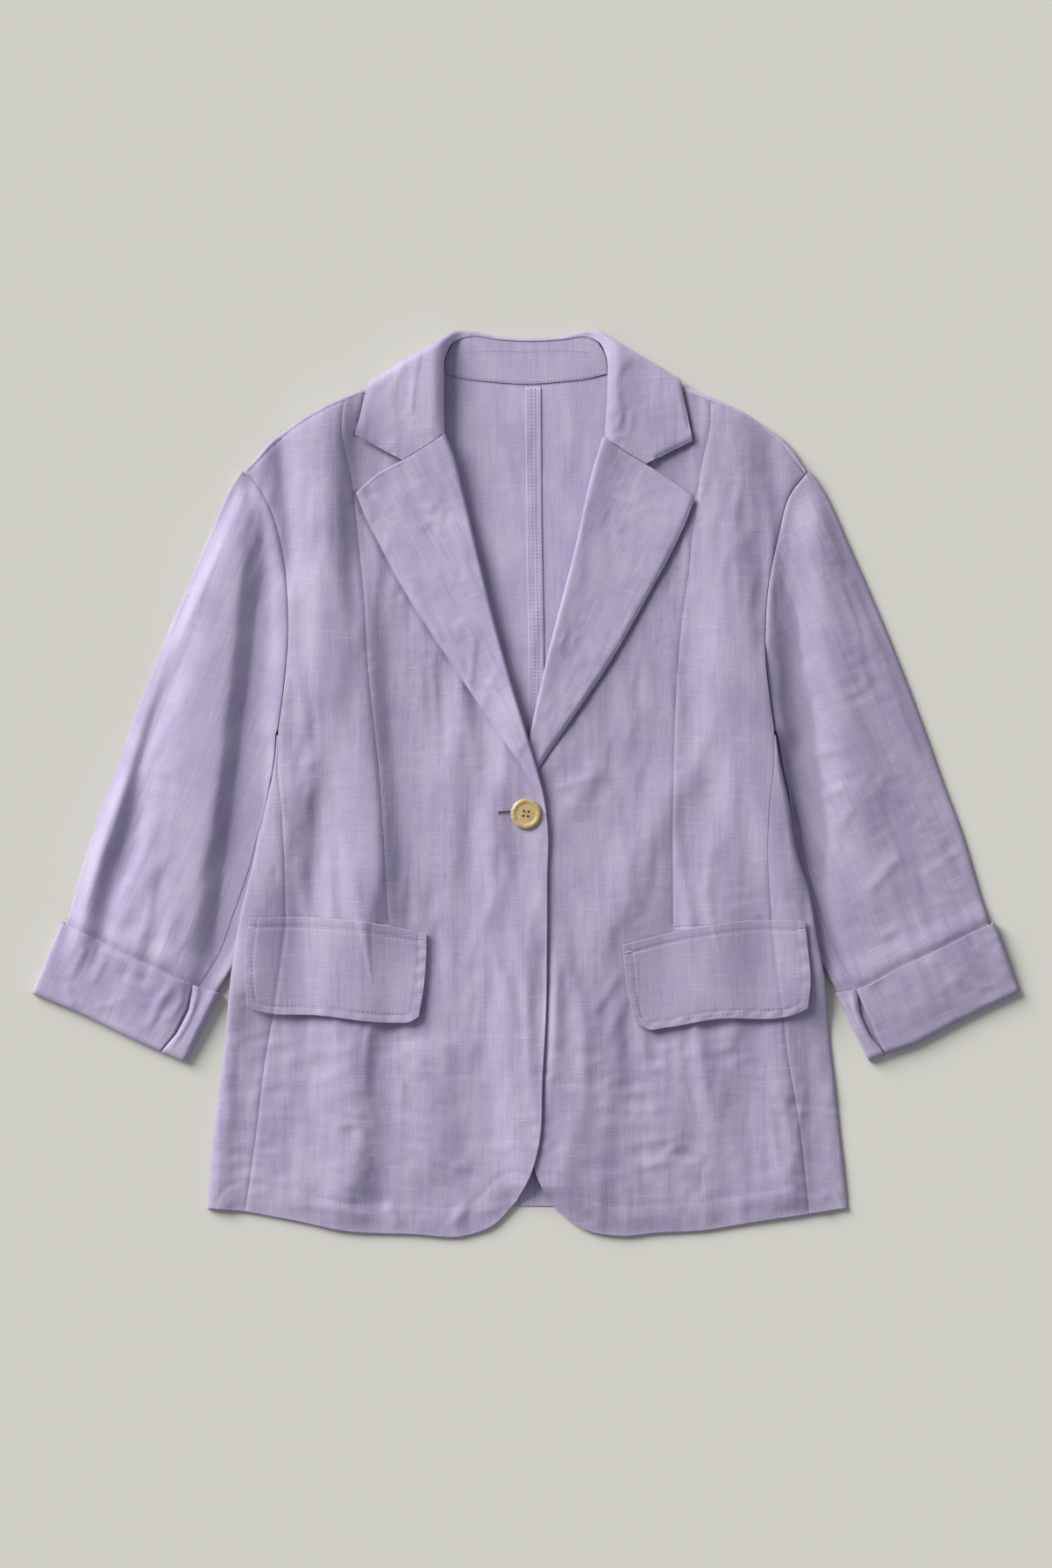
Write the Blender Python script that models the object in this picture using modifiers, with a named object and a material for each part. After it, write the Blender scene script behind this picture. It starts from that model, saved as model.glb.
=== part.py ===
"""Single breasted blazer laid flat on its back: cut pieces as thin walls, layer on layer.

Lengths in the tables are millimetres, x to the right, y towards the collar, z up from the surface
that the blazer lies on. Pieces are named for the side on which they lie, seen from above.
"""
import bpy
import bmesh
import numpy as np

mm = 0.001

# Driving dimensions
cloth = 1.2            # thickness of the linen wall
seamGap = 0.25         # each piece stops this far short of its seam
layerStep = 1.9        # from the middle of one layer to the middle of the next
ground = cloth / 2     # middle of the layer that rests on the surface
frontLevel = 2.75      # middle of a front where nothing lifts it
fallRise = 1.7         # the back rises over the collar's fall
sideRise = 4.9         # the body's side rises over the sleeve under it
wadding = 1.8          # extra height along the shoulder and armhole seams
rollRise = 1.6         # soft roll of the lapels and collar
shoulderInset = (2.6, 4.0)     # the shoulder seam lies this far in from the fold of the back
rollInset = 5.6        # a front stops this far short of its lapel's roll
buttonRadius = 12.5
buttonThickness = 3.6
buttonPlace = (0.0, -24.0)
armholeSteps, sideSteps, lowerSteps = 8, 6, 8      # rows along seams that two pieces share
linen = (0.44, 0.39, 0.57)
horn = (0.50, 0.37, 0.20)

# Seams and edges, from the shoulder end to the hem end or from the outside in
seams = {
    "left": {
        "shoulderFold": [(-226, 256), (-214, 270), (-205, 280), (-191.5, 290), (-174.5, 300.5), (-150, 313)],
        "neckFold": [(-150, 313), (-136, 319), (-120, 324), (-100, 334), (-80, 344)],
        "armhole": [(-226, 251), (-217, 241), (-205, 218), (-197, 188), (-193, 155), (-192, 120), (-194, 90),
                    (-200, 44)],
        "princess": [(-150, 309), (-149, 290), (-141, 245), (-135, 190), (-131, 150), (-128, 100), (-118, 0),
                     (-111, -113)],
        "sideFront": [(-200, 44), (-200, 10), (-197, -20), (-195, -60), (-194, -112)],
        "sideFrontLow": [(-194, -112), (-204, -184), (-210, -218), (-219.5, -294), (-227, -346)],
        "sideFold": [(-201.2, 44), (-203, 20), (-210, -20), (-220, -63), (-230, -103), (-237, -145),
                     (-243, -200), (-250, -260), (-259.5, -343)],
        "sideBack": [(-197, 44), (-190, -343)],
        "roll": [(-65, 338), (-65, 300), (-60, 270), (-50, 232), (-42, 198), (-16, 95.5), (2, 35), (9, 11),
                 (14, -8)],
        "frontEdge": [(17, -28), (18, -40), (17.3, -75), (17.2, -115)],
        "frontEdgeLow": [(17.2, -115), (16.4, -181), (13.5, -237), (10, -294), (4, -315), (-8, -338)],
        "hem": [(-227, -346), (-185, -354), (-149, -361.5), (-92, -364.5), (-50, -366), (-28, -358),
                (-8, -338)],
        "lapelTop": [(-65, 282), (-100, 261), (-120, 250), (-137, 235)],
        "lapelEdge": [(-137, 235), (-130, 217), (-121, 199), (-100, 160), (-57, 93), (-24, 44), (-2.5, 13),
                      (9, -6)],
        "sleeveOuter": [(-228.5, 255), (-239, 240), (-250.6, 215), (-257, 200), (-274, 160), (-299.6, 100),
                        (-322, 40), (-336.5, 0), (-350.7, -40), (-363, -80), (-371.5, -111), (-394.5, -165)],
        "sleeveInner": [(-202.3, 42), (-205, 20), (-206.5, 0), (-208, -30), (-214, -65), (-224, -105),
                        (-235.5, -145), (-251.5, -171), (-279, -219)],
        "cuffTop": [(-375.5, -111.5), (-355, -121), (-330, -134), (-300, -148), (-270, -162), (-248, -169)],
        "cuffBottom": [(-400, -169), (-388, -174), (-362, -185), (-312, -209), (-276, -225)],
        "flapTop": [(-223, -108), (-180, -107.6), (-132, -111), (-80, -121)],
        "flapBottom": [(-224.5, -180), (-217, -183), (-166, -187), (-105, -193), (-94, -192.5),
                       (-86.5, -188)],
        "flapOuter": [(-223, -108), (-226, -125), (-227.5, -150), (-224.5, -180)],
        "flapInner": [(-80, -121), (-80.5, -140), (-82.5, -165), (-86.5, -188)],
    },
    "right": {
        "shoulderFold": [(226, 256), (216.5, 270), (207.3, 280), (194.5, 290), (178, 300.5), (152, 313)],
        "neckFold": [(152, 313), (136, 319), (120, 324), (100, 334), (80, 344)],
        "armhole": [(225, 250), (214, 236), (204, 203), (197, 170), (193, 130), (193, 100), (196, 72),
                    (200, 44)],
        "princess": [(152, 309), (149, 290), (143, 262), (135, 205), (131, 165), (128, 145), (119, 0),
                     (119, -116)],
        "sideFront": [(200, 44), (199.5, 15), (196, -20), (195, -50), (198, -110)],
        "sideFrontLow": [(198, -110), (207, -185), (212, -225), (219, -265), (229, -348)],
        "sideFold": [(201.2, 44), (205, 18), (212, -15), (218, -55), (228, -85), (236, -130), (240, -150),
                     (245, -200), (251.5, -260), (260.5, -343)],
        "sideBack": [(197, 44), (190, -343)],
        "roll": [(65, 338), (64, 310), (60, 278), (53, 250), (42, 200), (15.5, 95.5), (3, 39), (-3, 10),
                 (-8, -15)],
        "frontEdge": [(-14, -30), (-17, -45), (-16, -80), (-12, -125)],
        "frontEdgeLow": [(-12, -125), (-5, -195), (0, -250), (3, -290), (7, -312), (20, -340)],
        "hem": [(229, -348), (190, -354), (137, -362), (105, -363.5), (76, -366), (46, -360), (20, -340)],
        "lapelTop": [(62, 280), (80, 268), (97, 258), (120, 243), (136, 231)],
        "lapelEdge": [(136, 231), (130, 214), (120, 192), (100, 155), (66, 95.5), (38, 54), (9.5, 12),
                      (-5, -12)],
        "sleeveOuter": [(228.5, 255), (239.3, 240), (252, 215), (258.4, 200), (276, 160), (301, 100),
                        (323.8, 40), (338, 0), (353, -40), (365, -80), (374.5, -112), (394.5, -164)],
        "sleeveInner": [(202.3, 42), (206.5, 20), (211.5, -5), (214, -30), (217, -60), (225, -100),
                        (236.5, -140), (253.5, -171), (280, -218)],
        "cuffTop": [(378.5, -111.5), (350, -125), (322, -139), (300, -149), (270, -165), (250, -169)],
        "cuffBottom": [(399.5, -168), (363, -185), (338, -198), (313, -211), (292, -218), (277, -224)],
        "flapTop": [(225, -110.5), (183, -110), (122, -119), (78, -130)],
        "flapBottom": [(227.5, -181), (218, -185.5), (152, -190), (112, -197), (100, -198.5), (88, -192)],
        "flapOuter": [(225, -110.5), (227, -130), (229.5, -160), (227.5, -181)],
        "flapInner": [(78, -130), (80, -150), (83, -172), (88, -192)],
    },
}
centreBack = [(12.5, 324), (13.5, 200), (15, 100), (14, 0), (12, -100), (9, -250), (7, -342)]
backNeck = [(30, 326), (50, 328.5), (62, 331), (74, 338), (80, 346.3)]
standTop = [(-54, 357.5), (-35, 358.5), (0, 356.8), (35, 358.5), (54, 357.5)]
standLow = [(-61, 337), (-50, 332), (-30, 328.4), (0, 325.4), (30, 328.4), (50, 332), (61, 337)]
collarCrease = [(-150, 306), (-136, 318), (-127, 326), (-118, 331), (-101.5, 341.5), (-86, 350.5),
                (-69, 360.5), (-57, 367), (-48, 367), (-20, 362), (0, 361), (30, 362.5), (48, 367), (58, 367),
                (69.5, 360.5), (86, 350.5), (102, 341.5), (118.6, 331), (127, 326), (136, 318), (150, 306)]
collarNeck = [(-65, 283), (-66, 305), (-66, 328), (-65, 346), (-58, 358), (-48, 362), (-20, 359.5),
              (0, 358.5), (30, 360), (48, 362), (58, 358), (64, 346), (65, 328), (64, 303), (62, 281)]
collarEdge = [(-137.5, 282), (-134, 295), (-128, 322), (-123, 345), (-108, 376), (-80, 402), (-45, 414),
              (0, 416), (45, 414), (80, 402), (108, 376), (123, 345), (125, 322), (131, 295), (134.5, 277)]

# The largest folds: a ridge through three points, its half width and its height
foldColumns = ("x0", "y0", "x1", "y1", "x2", "y2", "width", "height")
bodyFolds = [
    (-168, 275, -176, 215, -178, 150, 15, 2.0),
    (-165, -215, -168, -270, -172, -325, 18, 1.6),
    (-62, -215, -66, -280, -70, -345, 20, 1.6),
    (160, 260, 164, 200, 166, 150, 15, 2.0),
    (95, -215, 92, -270, 90, -345, 20, 1.6),
    (210, -230, 214, -280, 218, -325, 16, 1.4),
]
sleeveFolds = [
    (-245, 205, -262, 90, -270, 30, 19, 4.6),
    (-270, 30, -282, -40, -300, -130, 20, 3.6),
    (-268, 165, -312, 40, -330, -10, 12, 2.4),
    (-330, -10, -346, -55, -361, -100, 12, 3.4),
    (240, 205, 243, 120, 248, 40, 18, 4.6),
    (262, 40, 285, -30, 300, -60, 26, 3.8),
    (292, -40, 318, -100, 330, -120, 22, 3.0),
]


def smooth(value, low, high):
    """0 below low, 1 above high, with soft ends."""
    share = np.clip((value - low) / (high - low), 0, 1)
    return share * share * (3 - 2 * share)


def curve(points):
    """A smooth line through points, as a function of the share of its length."""
    knots = np.array(points, float)
    chord = np.concatenate(([0], np.cumsum(np.linalg.norm(np.diff(knots, axis=0), axis=1))))
    slope = np.gradient(knots, chord, axis=0)
    along = np.linspace(0, chord[-1], 16 * len(knots))
    span = np.clip(np.searchsorted(chord, along, side="right") - 1, 0, len(knots) - 2)
    length = (chord[span + 1] - chord[span])[:, None]
    t = (along - chord[span])[:, None] / length
    line = ((2 * t**3 - 3 * t**2 + 1) * knots[span] + (t**3 - 2 * t**2 + t) * length * slope[span]
            + (3 * t**2 - 2 * t**3) * knots[span + 1] + (t**3 - t**2) * length * slope[span + 1])
    run = np.concatenate(([0], np.cumsum(np.linalg.norm(np.diff(line, axis=0), axis=1))))

    def place(share):
        at = np.asarray(share, float) * run[-1]
        return np.stack([np.interp(at, run, line[:, i]) for i in range(2)], axis=-1)

    place.line = line
    place.length = run[-1]
    return place


def chain(*parts):
    """Lines joined end to end, keeping the corners between them."""
    total = sum(part.length for part in parts)
    starts = np.cumsum([0] + [part.length / total for part in parts])

    def place(share):
        at = np.asarray(share, float)
        out = parts[0](np.clip(at / starts[1], 0, 1))
        for i in range(1, len(parts)):
            local = np.clip((at - starts[i]) / (starts[i + 1] - starts[i]), 0, 1)
            out = np.where((at > starts[i])[..., None], parts[i](local), out)
        return out

    place.line = np.concatenate([part.line for part in parts])
    place.length = total
    place.starts = starts
    return place


def rowsAlong(line, *counts):
    """Shares along a chained line, each of its parts cut into that many equal steps."""
    steps = [np.linspace(line.starts[i], line.starts[i + 1], count + 1)[1:] for i, count in enumerate(counts)]
    return np.concatenate([[0.0]] + steps)


def patch(top, bottom, first, last):
    """A four-sided patch: u runs along top and bottom, v runs down first (u = 0) and last (u = 1)."""
    corners = [edge(np.array(end)) for edge in (top, bottom) for end in (0.0, 1.0)]

    def place(u, v):
        u, v = np.broadcast_arrays(u, v)
        across, down = u[..., None], v[..., None]
        lofted = (1 - down) * top(u) + down * bottom(u) + (1 - across) * first(v) + across * last(v)
        flat = ((1 - across) * (1 - down) * corners[0] + across * (1 - down) * corners[1]
                + (1 - across) * down * corners[2] + across * down * corners[3])
        return lofted - flat

    return place


def nearest(x, y, line):
    """Distance from each point to a line, and the nearest point on it."""
    best = np.full(np.shape(x), 1e9)
    foot = np.zeros(np.shape(x) + (2,))
    for (ax, ay), (bx, by) in zip(line[:-1], line[1:]):
        square = (bx - ax) ** 2 + (by - ay) ** 2
        if square == 0:
            continue
        t = np.clip(((x - ax) * (bx - ax) + (y - ay) * (by - ay)) / square, 0, 1)
        footX, footY = ax + t * (bx - ax), ay + t * (by - ay)
        away = np.hypot(x - footX, y - footY)
        closer = away < best
        best = np.where(closer, away, best)
        foot = np.where(closer[..., None], np.stack([footX, footY], axis=-1), foot)
    return best, foot


def relief(x, y, folds):
    """Height of the large soft folds."""
    height = np.zeros(np.shape(x))
    for row in folds:
        fold = dict(zip(foldColumns, row))
        ridge = [(fold["x0"], fold["y0"]), (fold["x1"], fold["y1"]), (fold["x2"], fold["y2"])]
        away = nearest(x, y, ridge)[0]
        height = np.maximum(height, fold["height"] * np.exp(-(away / fold["width"]) ** 2))
    return height


for table in seams.values():
    for seam, fold in (("shoulder", "shoulderFold"), ("shoulderNeck", "neckFold")):
        table[seam] = [(x - np.sign(x) * shoulderInset[0], y - shoulderInset[1]) for x, y in table[fold]]
    table["shoulder"][0] = table["armhole"][0]
    table["princess"][0] = table["shoulder"][-1]
lines = {side: {name: curve(points) for name, points in table.items()} for side, table in seams.items()}


def acrossAt(y, *names, side):
    """x of a line that runs down the body, at height y."""
    line = np.concatenate([lines[side][name].line for name in names])[::-1]
    return np.interp(y, line[:, 1], line[:, 0])


def sideLift(x, y):
    """Rise of the body's side where the sleeve lies under it, from the underarm to the cuff."""
    edge = np.where(x < 0, -acrossAt(y, "sideFold", side="left"), acrossAt(y, "sideFold", side="right"))
    along = (1 - smooth(y, 18, 50)) * smooth(y, -215, -150)
    across = 1 - smooth(edge - np.abs(x), 10, 58)
    return sideRise * along * across


def fallLift(y):
    """Rise of the shoulders over the collar's fall."""
    return fallRise * smooth(y, 236, 300)


def backHeight(x, y):
    """Middle of the back, which rests on the surface."""
    return ground + fallLift(y) + sideLift(x, y)


def frontHeight(x, y, side):
    """Middle of a front, before anything that lies on it."""
    seam = np.full(np.shape(x), 1e9)
    for half in seams:
        for name in ("armhole", "shoulder", "shoulderNeck"):
            seam = np.minimum(seam, nearest(x, y, lines[half][name].line[::4])[0])
    height = frontLevel + fallLift(y) + sideLift(x, y)
    height = height + wadding * (1 - smooth(seam, 6, 42)) + relief(x, y, bodyFolds)
    if side == "left":         # it laps over the other front, and over the end of that one's lapel
        under = acrossAt(y, "roll", "frontEdge", "frontEdgeLow", side="right")
        height = height + layerStep * smooth(x, under - 28, under - 8)
        height = height + layerStep * (1 - smooth(np.hypot(x - 3, y - 14), 30, 85))
    return height


def turnedHeight(x, y, side):
    """Middle of the lapel or collar that lies turned on a front."""
    away = nearest(x, y, lines[side]["roll"].line[::4])[0]
    return frontHeight(x, y, side) + layerStep + rollRise * smooth(y, 30, 120) * np.exp(-(away / 13) ** 2)


def sheet(name, grids, colour, roughness=0.85):
    """A cloth wall on one or more grids of middle points, welded where they meet."""
    mesh = bpy.data.meshes.new(name)
    build = bmesh.new()
    for grid in grids:
        rows, columns = grid.shape[:2]
        points = [[build.verts.new(grid[i, j] * mm) for j in range(columns)] for i in range(rows)]
        for i in range(rows - 1):
            for j in range(columns - 1):
                build.faces.new((points[i][j], points[i + 1][j], points[i + 1][j + 1], points[i][j + 1]))
    if len(grids) > 1:
        bmesh.ops.remove_doubles(build, verts=build.verts, dist=0.05 * mm)
    bmesh.ops.recalc_face_normals(build, faces=build.faces)
    build.to_mesh(mesh)
    build.free()
    piece = bpy.data.objects.new(name, mesh)
    wall = piece.modifiers.new("Cloth wall", "SOLIDIFY")
    wall.thickness = cloth * mm
    wall.offset = 0
    wall.use_even_offset = False
    finish(piece, colour, roughness)
    mesh.shade_smooth()
    mesh.set_sharp_from_angle(angle=0.9)
    return piece


def finish(piece, colour, roughness):
    """Gives a piece its own material and puts it in the blazer's collection."""
    material = bpy.data.materials.new(piece.name)
    material.use_nodes = True
    shader = material.node_tree.nodes["Principled BSDF"]
    shader.inputs["Base Color"].default_value = (*colour, 1)
    shader.inputs["Roughness"].default_value = roughness
    shader.inputs["Metallic"].default_value = 0
    material.diffuse_color = (*colour, 1)
    piece.data.materials.append(material)
    blazer.objects.link(piece)


def raised(plan, height):
    """Adds heights to plan points."""
    return np.concatenate([plan, height[..., None]], axis=-1)


def flatGrid(place, width, length, columns, rows, height):
    """A grid over a patch, stopped short of its seams. width and length are its rough size."""
    shy, shyDown = seamGap / width, seamGap / length
    u = np.linspace(shy, 1 - shy, columns + 1)[None, :]
    v = np.linspace(shyDown, 1 - shyDown, rows + 1)[:, None]
    plan = place(u, v)
    return raised(plan, height(plan[..., 0], plan[..., 1]))


def foldedGrid(above, below, rows, counts, radius, heights, ends=(1.0, 1.0), closing=lambda v: 1.0):
    """A sheet folded along u = 0 of two patches, one above and one below.

    counts are the columns above, round the fold and below; ends are the shares of each patch that are
    covered, as numbers or as functions of v. Where closing is 0 the sheet stays below, unfolded.
    """
    v = np.asarray(rows, float)[:, None]
    widths = [np.linalg.norm(p(1.0, v) - p(0.0, v), axis=-1) for p in (above, below)]
    covered = [(end(v) if callable(end) else end) * w - seamGap for end, w in zip(ends, widths)]
    start = cloth / 2
    round_ = np.minimum(radius, 0.4 * np.minimum(covered[0], covered[1]))
    outward = np.linspace(1, 0, counts[0] + 1)[None, :-1]
    angle = np.linspace(np.pi / 2, -np.pi / 2, counts[1] + 1)[None, :]
    inward = np.linspace(0, 1, counts[2] + 1)[None, 1:]
    reach = [start + round_ + (c - start - round_) * t for c, t in zip(covered, (outward, inward))]
    bend = start + round_ * (1 - np.cos(angle))
    middle = counts[1] // 2 + 1
    closed = closing(v)
    folded = np.concatenate([reach[0], bend], axis=1)
    unfolded = seamGap + (start + round_ - seamGap) * np.linspace(0, 1, folded.shape[1])[None, :]
    folded = closed * folded + (1 - closed) * unfolded
    topPlan = above(folded / widths[0], v)
    lowPlan = below(np.concatenate([folded[:, counts[0]:], reach[1]], axis=1) / widths[1], v)
    plan = np.concatenate([topPlan[:, :counts[0] + middle], lowPlan[:, middle:]], axis=1)
    side = np.concatenate([np.ones(counts[0]), np.sin(angle[0]), -np.ones(counts[2])])[None, :]
    side = (side + 1) * closed - 1
    high, low = (height(plan[..., 0], plan[..., 1]) for height in heights)
    return raised(plan, (high + low) / 2 + side * (high - low) / 2)


def flipped(place):
    """The same patch with u run from the other side."""
    return lambda u, v: place(1 - np.asarray(u, float), v)


def makeBack(side):
    """Half the back, turned over the shoulder to meet the front."""
    line = lines[side]
    sign = -1 if side == "left" else 1
    fold = np.concatenate([line["shoulderFold"].line, line["neckFold"].line])
    order = np.argsort(fold[:, 0])
    neck = curve([(sign * x, y) for x, y in backNeck[::-1]] + [centreBack[0]])
    past = 2.2             # the turned edge stops this far short of the shoulder seam
    seam = np.concatenate([line["shoulder"].line, line["shoulderNeck"].line])
    seam = seam[np.argsort(seam[:, 0])]
    overFold = seams[side]["shoulderFold"] + seams[side]["neckFold"][1:]
    mirrored = [(x, 2 * y - cloth - past - np.interp(x, seam[:, 0], seam[:, 1])) for x, y in overFold]
    top = chain(curve(mirrored), neck)
    underarm = curve([seams[side]["armhole"][-1], seams[side]["sideBack"][0]])
    outer = chain(curve([top(0.0), seams[side]["armhole"][0]]), line["armhole"], underarm, line["sideBack"])
    bottom = curve([(sign * 190, -343), (sign * 100, -342.5), (7, -342)])
    place = patch(top, bottom, outer, curve(centreBack))
    rows = rowsAlong(outer, 4, armholeSteps, 1, 7)
    rows[0], rows[-1] = 0.0006, 0.9996
    crowd = 1 + 0.45 * smooth(rows, 0.25, 0.55)[:, None]      # columns crowd towards the raised side
    u = np.linspace(seamGap / 200, 1 - seamGap / 200, 7)[None, :] ** crowd
    plan = place(u, rows[:, None])
    x, y = plan[..., 0], plan[..., 1]
    edge = np.interp(x, fold[order, 0], fold[order, 1]) - cloth / 2
    edge = np.where(np.abs(x) < 80, 400, edge)         # the neck isn't folded
    radius = 2.4
    short = edge - y
    angle = np.clip(short / radius, -1, 1) * np.pi / 2
    away = np.where(np.abs(short) < radius, radius * (1 - np.cos(angle)), np.abs(short))
    folded = np.where(short < radius, edge - away, y)
    low, high = backHeight(x, y), frontHeight(x, folded, side)
    height = (high + low) / 2 - np.sin(angle) * (high - low) / 2
    sheet(f"back_{side}", [np.stack([x, folded, height], axis=-1)], linen)


def bodyRows(side):
    """Rows of a side front and the front beside it, from the shoulder to the pocket line."""
    line = chain(lines[side]["armhole"], lines[side]["sideFront"])
    return rowsAlong(line, armholeSteps, sideSteps)


def makeSidePanel(side):
    """The panel that turns round the body's side, from the side front seam to the back."""
    line = lines[side]
    width = chain(line["sideFront"], line["sideFrontLow"])
    foldLow = line["sideFold"].line[-1]
    above = patch(curve([seams[side]["sideFold"][0], seams[side]["sideFront"][0]]),
                  curve([tuple(foldLow), seams[side]["sideFrontLow"][-1]]), line["sideFold"], width)
    below = patch(curve([seams[side]["sideFold"][0], seams[side]["sideBack"][0]]),
                  curve([tuple(foldLow), seams[side]["sideBack"][-1]]), line["sideFold"], line["sideBack"])
    rows = rowsAlong(width, sideSteps, lowerSteps)
    rows[0], rows[-1] = 0.02, 1 - seamGap / 390
    grid = foldedGrid(above, below, rows, (2, 3, 2), 1.6,
                      (lambda x, y: frontHeight(x, y, side), backHeight))
    sheet(f"side_{side}", [grid], linen)


def makeSideFront(side):
    line = lines[side]
    place = patch(line["shoulder"], curve([seams[side]["sideFront"][-1], seams[side]["princess"][-1]]),
                  chain(line["armhole"], line["sideFront"]), line["princess"])
    rows = bodyRows(side)
    rows[0], rows[-1] = seamGap / 400, 1 - seamGap / 400
    plan = place(np.linspace(seamGap / 70, 1 - seamGap / 70, 5)[None, :], rows[:, None])
    sheet(f"side_front_{side}", [raised(plan, frontHeight(plan[..., 0], plan[..., 1], side))], linen)


def makeFront(side):
    """The front, wider below the pocket line, stopped under the lapel's roll."""
    line = lines[side]
    sign = -1 if side == "left" else 1
    inner = chain(curve([(x + sign * rollInset, y) for x, y in seams[side]["roll"]]), line["frontEdge"])
    pocketOuter = seams[side]["sideFront"][-1]
    pocketMiddle = seams[side]["princess"][-1]
    pocketInner = seams[side]["frontEdge"][-1]
    neckPart = seams[side]["shoulderNeck"][:-1] + [(sign * (65 + rollInset), 338)]
    upper = patch(curve(neckPart), curve([pocketMiddle, pocketInner]), line["princess"], inner)
    outerSpan = abs(pocketOuter[0] - pocketMiddle[0])
    innerSpan = abs(pocketMiddle[0] - pocketInner[0])
    lower = patch(chain(curve([pocketOuter, pocketMiddle]), curve([pocketMiddle, pocketInner])), line["hem"],
                  line["sideFrontLow"], line["frontEdgeLow"])
    columns = 6
    split = outerSpan / (outerSpan + innerSpan)
    shy = seamGap / innerSpan
    upperU = np.linspace(shy, 1 - shy, columns + 1)
    lowerU = np.concatenate([np.linspace(seamGap / outerSpan * split, split, 4)[:-1],
                             split + (1 - split) * upperU])
    rows = bodyRows(side)
    rows[0] = seamGap / 420
    upperPlan = upper(upperU[None, :], rows[:, None])
    lowerPlan = lower(lowerU[None, :], np.linspace(0, 1 - seamGap / 240, lowerSteps + 1)[:, None])
    grids = [raised(plan, frontHeight(plan[..., 0], plan[..., 1], side)) for plan in (upperPlan, lowerPlan)]
    sheet(f"front_{side}", grids, linen)


def makeLapel(side):
    line = lines[side]
    start = seams[side]["lapelTop"][0]
    roll = curve([start] + [p for p in seams[side]["roll"] if p[1] < start[1] - 5])
    tail = curve([tuple(roll.line[-1]), seams[side]["lapelEdge"][-1]])
    place = patch(line["lapelTop"], tail, roll, line["lapelEdge"])
    rows = np.linspace(seamGap / 300, 1 - seamGap / 300, 13)
    turnUnder = 3.1        # how far the roll goes back, to meet the front

    def under(v):
        return turnUnder / np.linalg.norm(place(1.0, v) - place(0.0, v), axis=-1)

    heights = (lambda x, y: turnedHeight(x, y, side), lambda x, y: frontHeight(x, y, side))
    grid = foldedGrid(place, place, rows, (4, 3, 1), 1.9, heights, ends=(1.0, under))
    sheet(f"lapel_{side}", [grid], linen)


def makeStand():
    left = curve([standTop[0], (-59, 348), standLow[0]])
    right = curve([standTop[-1], (59, 348), standLow[-1]])
    place = patch(curve(standTop), curve(standLow), left, right)
    sheet("collar_stand", [flatGrid(place, 120, 30, 8, 2, backHeight)], linen)


def makeCollar():
    """One strip from leaf to leaf, creased over the shoulders and the back neck."""
    notches = (-100, 261.4), (97, 258.6)       # where the collar meets the lapels' top edges
    neck = chain(curve([notches[0], collarNeck[0]]), curve(collarNeck), curve([collarNeck[-1], notches[1]]))
    edge = curve(collarEdge)
    crease = curve(collarCrease).line
    place = patch(neck, edge, curve([notches[0], collarEdge[0]]), curve([notches[1], collarEdge[-1]]))
    half = np.concatenate([[0.001, 0.05], np.linspace(0.09, 0.128, 5), np.linspace(0.17, 0.46, 5)])
    stations = np.concatenate([half, 1 - half[::-1]])
    fine = np.linspace(0, 1, 200)
    near = 0.12            # columns crowd this near the crease
    grid = []
    for station in stations:
        past = signedPast(place(np.full(len(fine), station), fine), crease)
        centre = np.clip(np.interp(0, -past, fine) if past.min() < 0 else 1, 0.14, 0.86)
        share = np.concatenate([np.linspace(0.003, centre - near, 4)[:-1],
                                np.linspace(centre - near, centre + near, 5),
                                np.linspace(centre + near, 1, 3)[1:]])
        grid.append(creased(place(np.full(len(share), station), share), share, crease))
    sheet("collar", [np.array(grid)], linen)


def signedPast(plan, crease):
    """Distance to the collar's crease, positive on the side of the garment."""
    away = nearest(plan[..., 0], plan[..., 1], crease)[0]
    return np.where(plan[..., 1] < np.interp(plan[..., 0], crease[:, 0], crease[:, 1]), away, -away)


def creased(plan, share, crease):
    """Collar points turned under where they pass the crease."""
    away, foot = nearest(plan[..., 0], plan[..., 1], crease)
    past = signedPast(plan, crease)
    x = plan[..., 0]
    outward = smooth(np.abs(x), 50, 76)
    radius = 1.2 + 3.0 * outward
    angle = np.clip(past / radius, -1, 1) * np.pi / 2
    kept = np.where(np.abs(past) < radius, radius * (1 - np.cos(angle)), away) + cloth / 2
    inside = (plan - foot) / np.maximum(away, 1e-6)[..., None] * np.sign(past)[..., None]
    turned = np.where((past < radius)[..., None], foot + inside * kept[..., None], plan)
    top = np.where(x < 0, *(turnedHeight(turned[..., 0], turned[..., 1], side) for side in seams))
    neckLevel = 3.2
    top = neckLevel + (top - neckLevel) * outward
    drop = (1 - smooth(share * 60, 0, 4)) * smooth(plan[..., 1], 284, 296) * outward
    top = top - 0.8 * drop
    return raised(turned, (top + ground) / 2 + np.sin(angle) * (top - ground) / 2)


def sleeveFloor(side):
    """Middle of the sleeve's underside: it rises just before it goes into the cuff."""
    line = sleevePlace(side)(np.linspace(0, 1, 40), np.full(40, 0.845))
    order = np.argsort(line[:, 0])

    def height(x, y):
        into = np.interp(x, line[order, 0], line[order, 1]) - y
        return ground + (layerStep + 0.2) * smooth(into, -9, 9)

    return height


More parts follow.
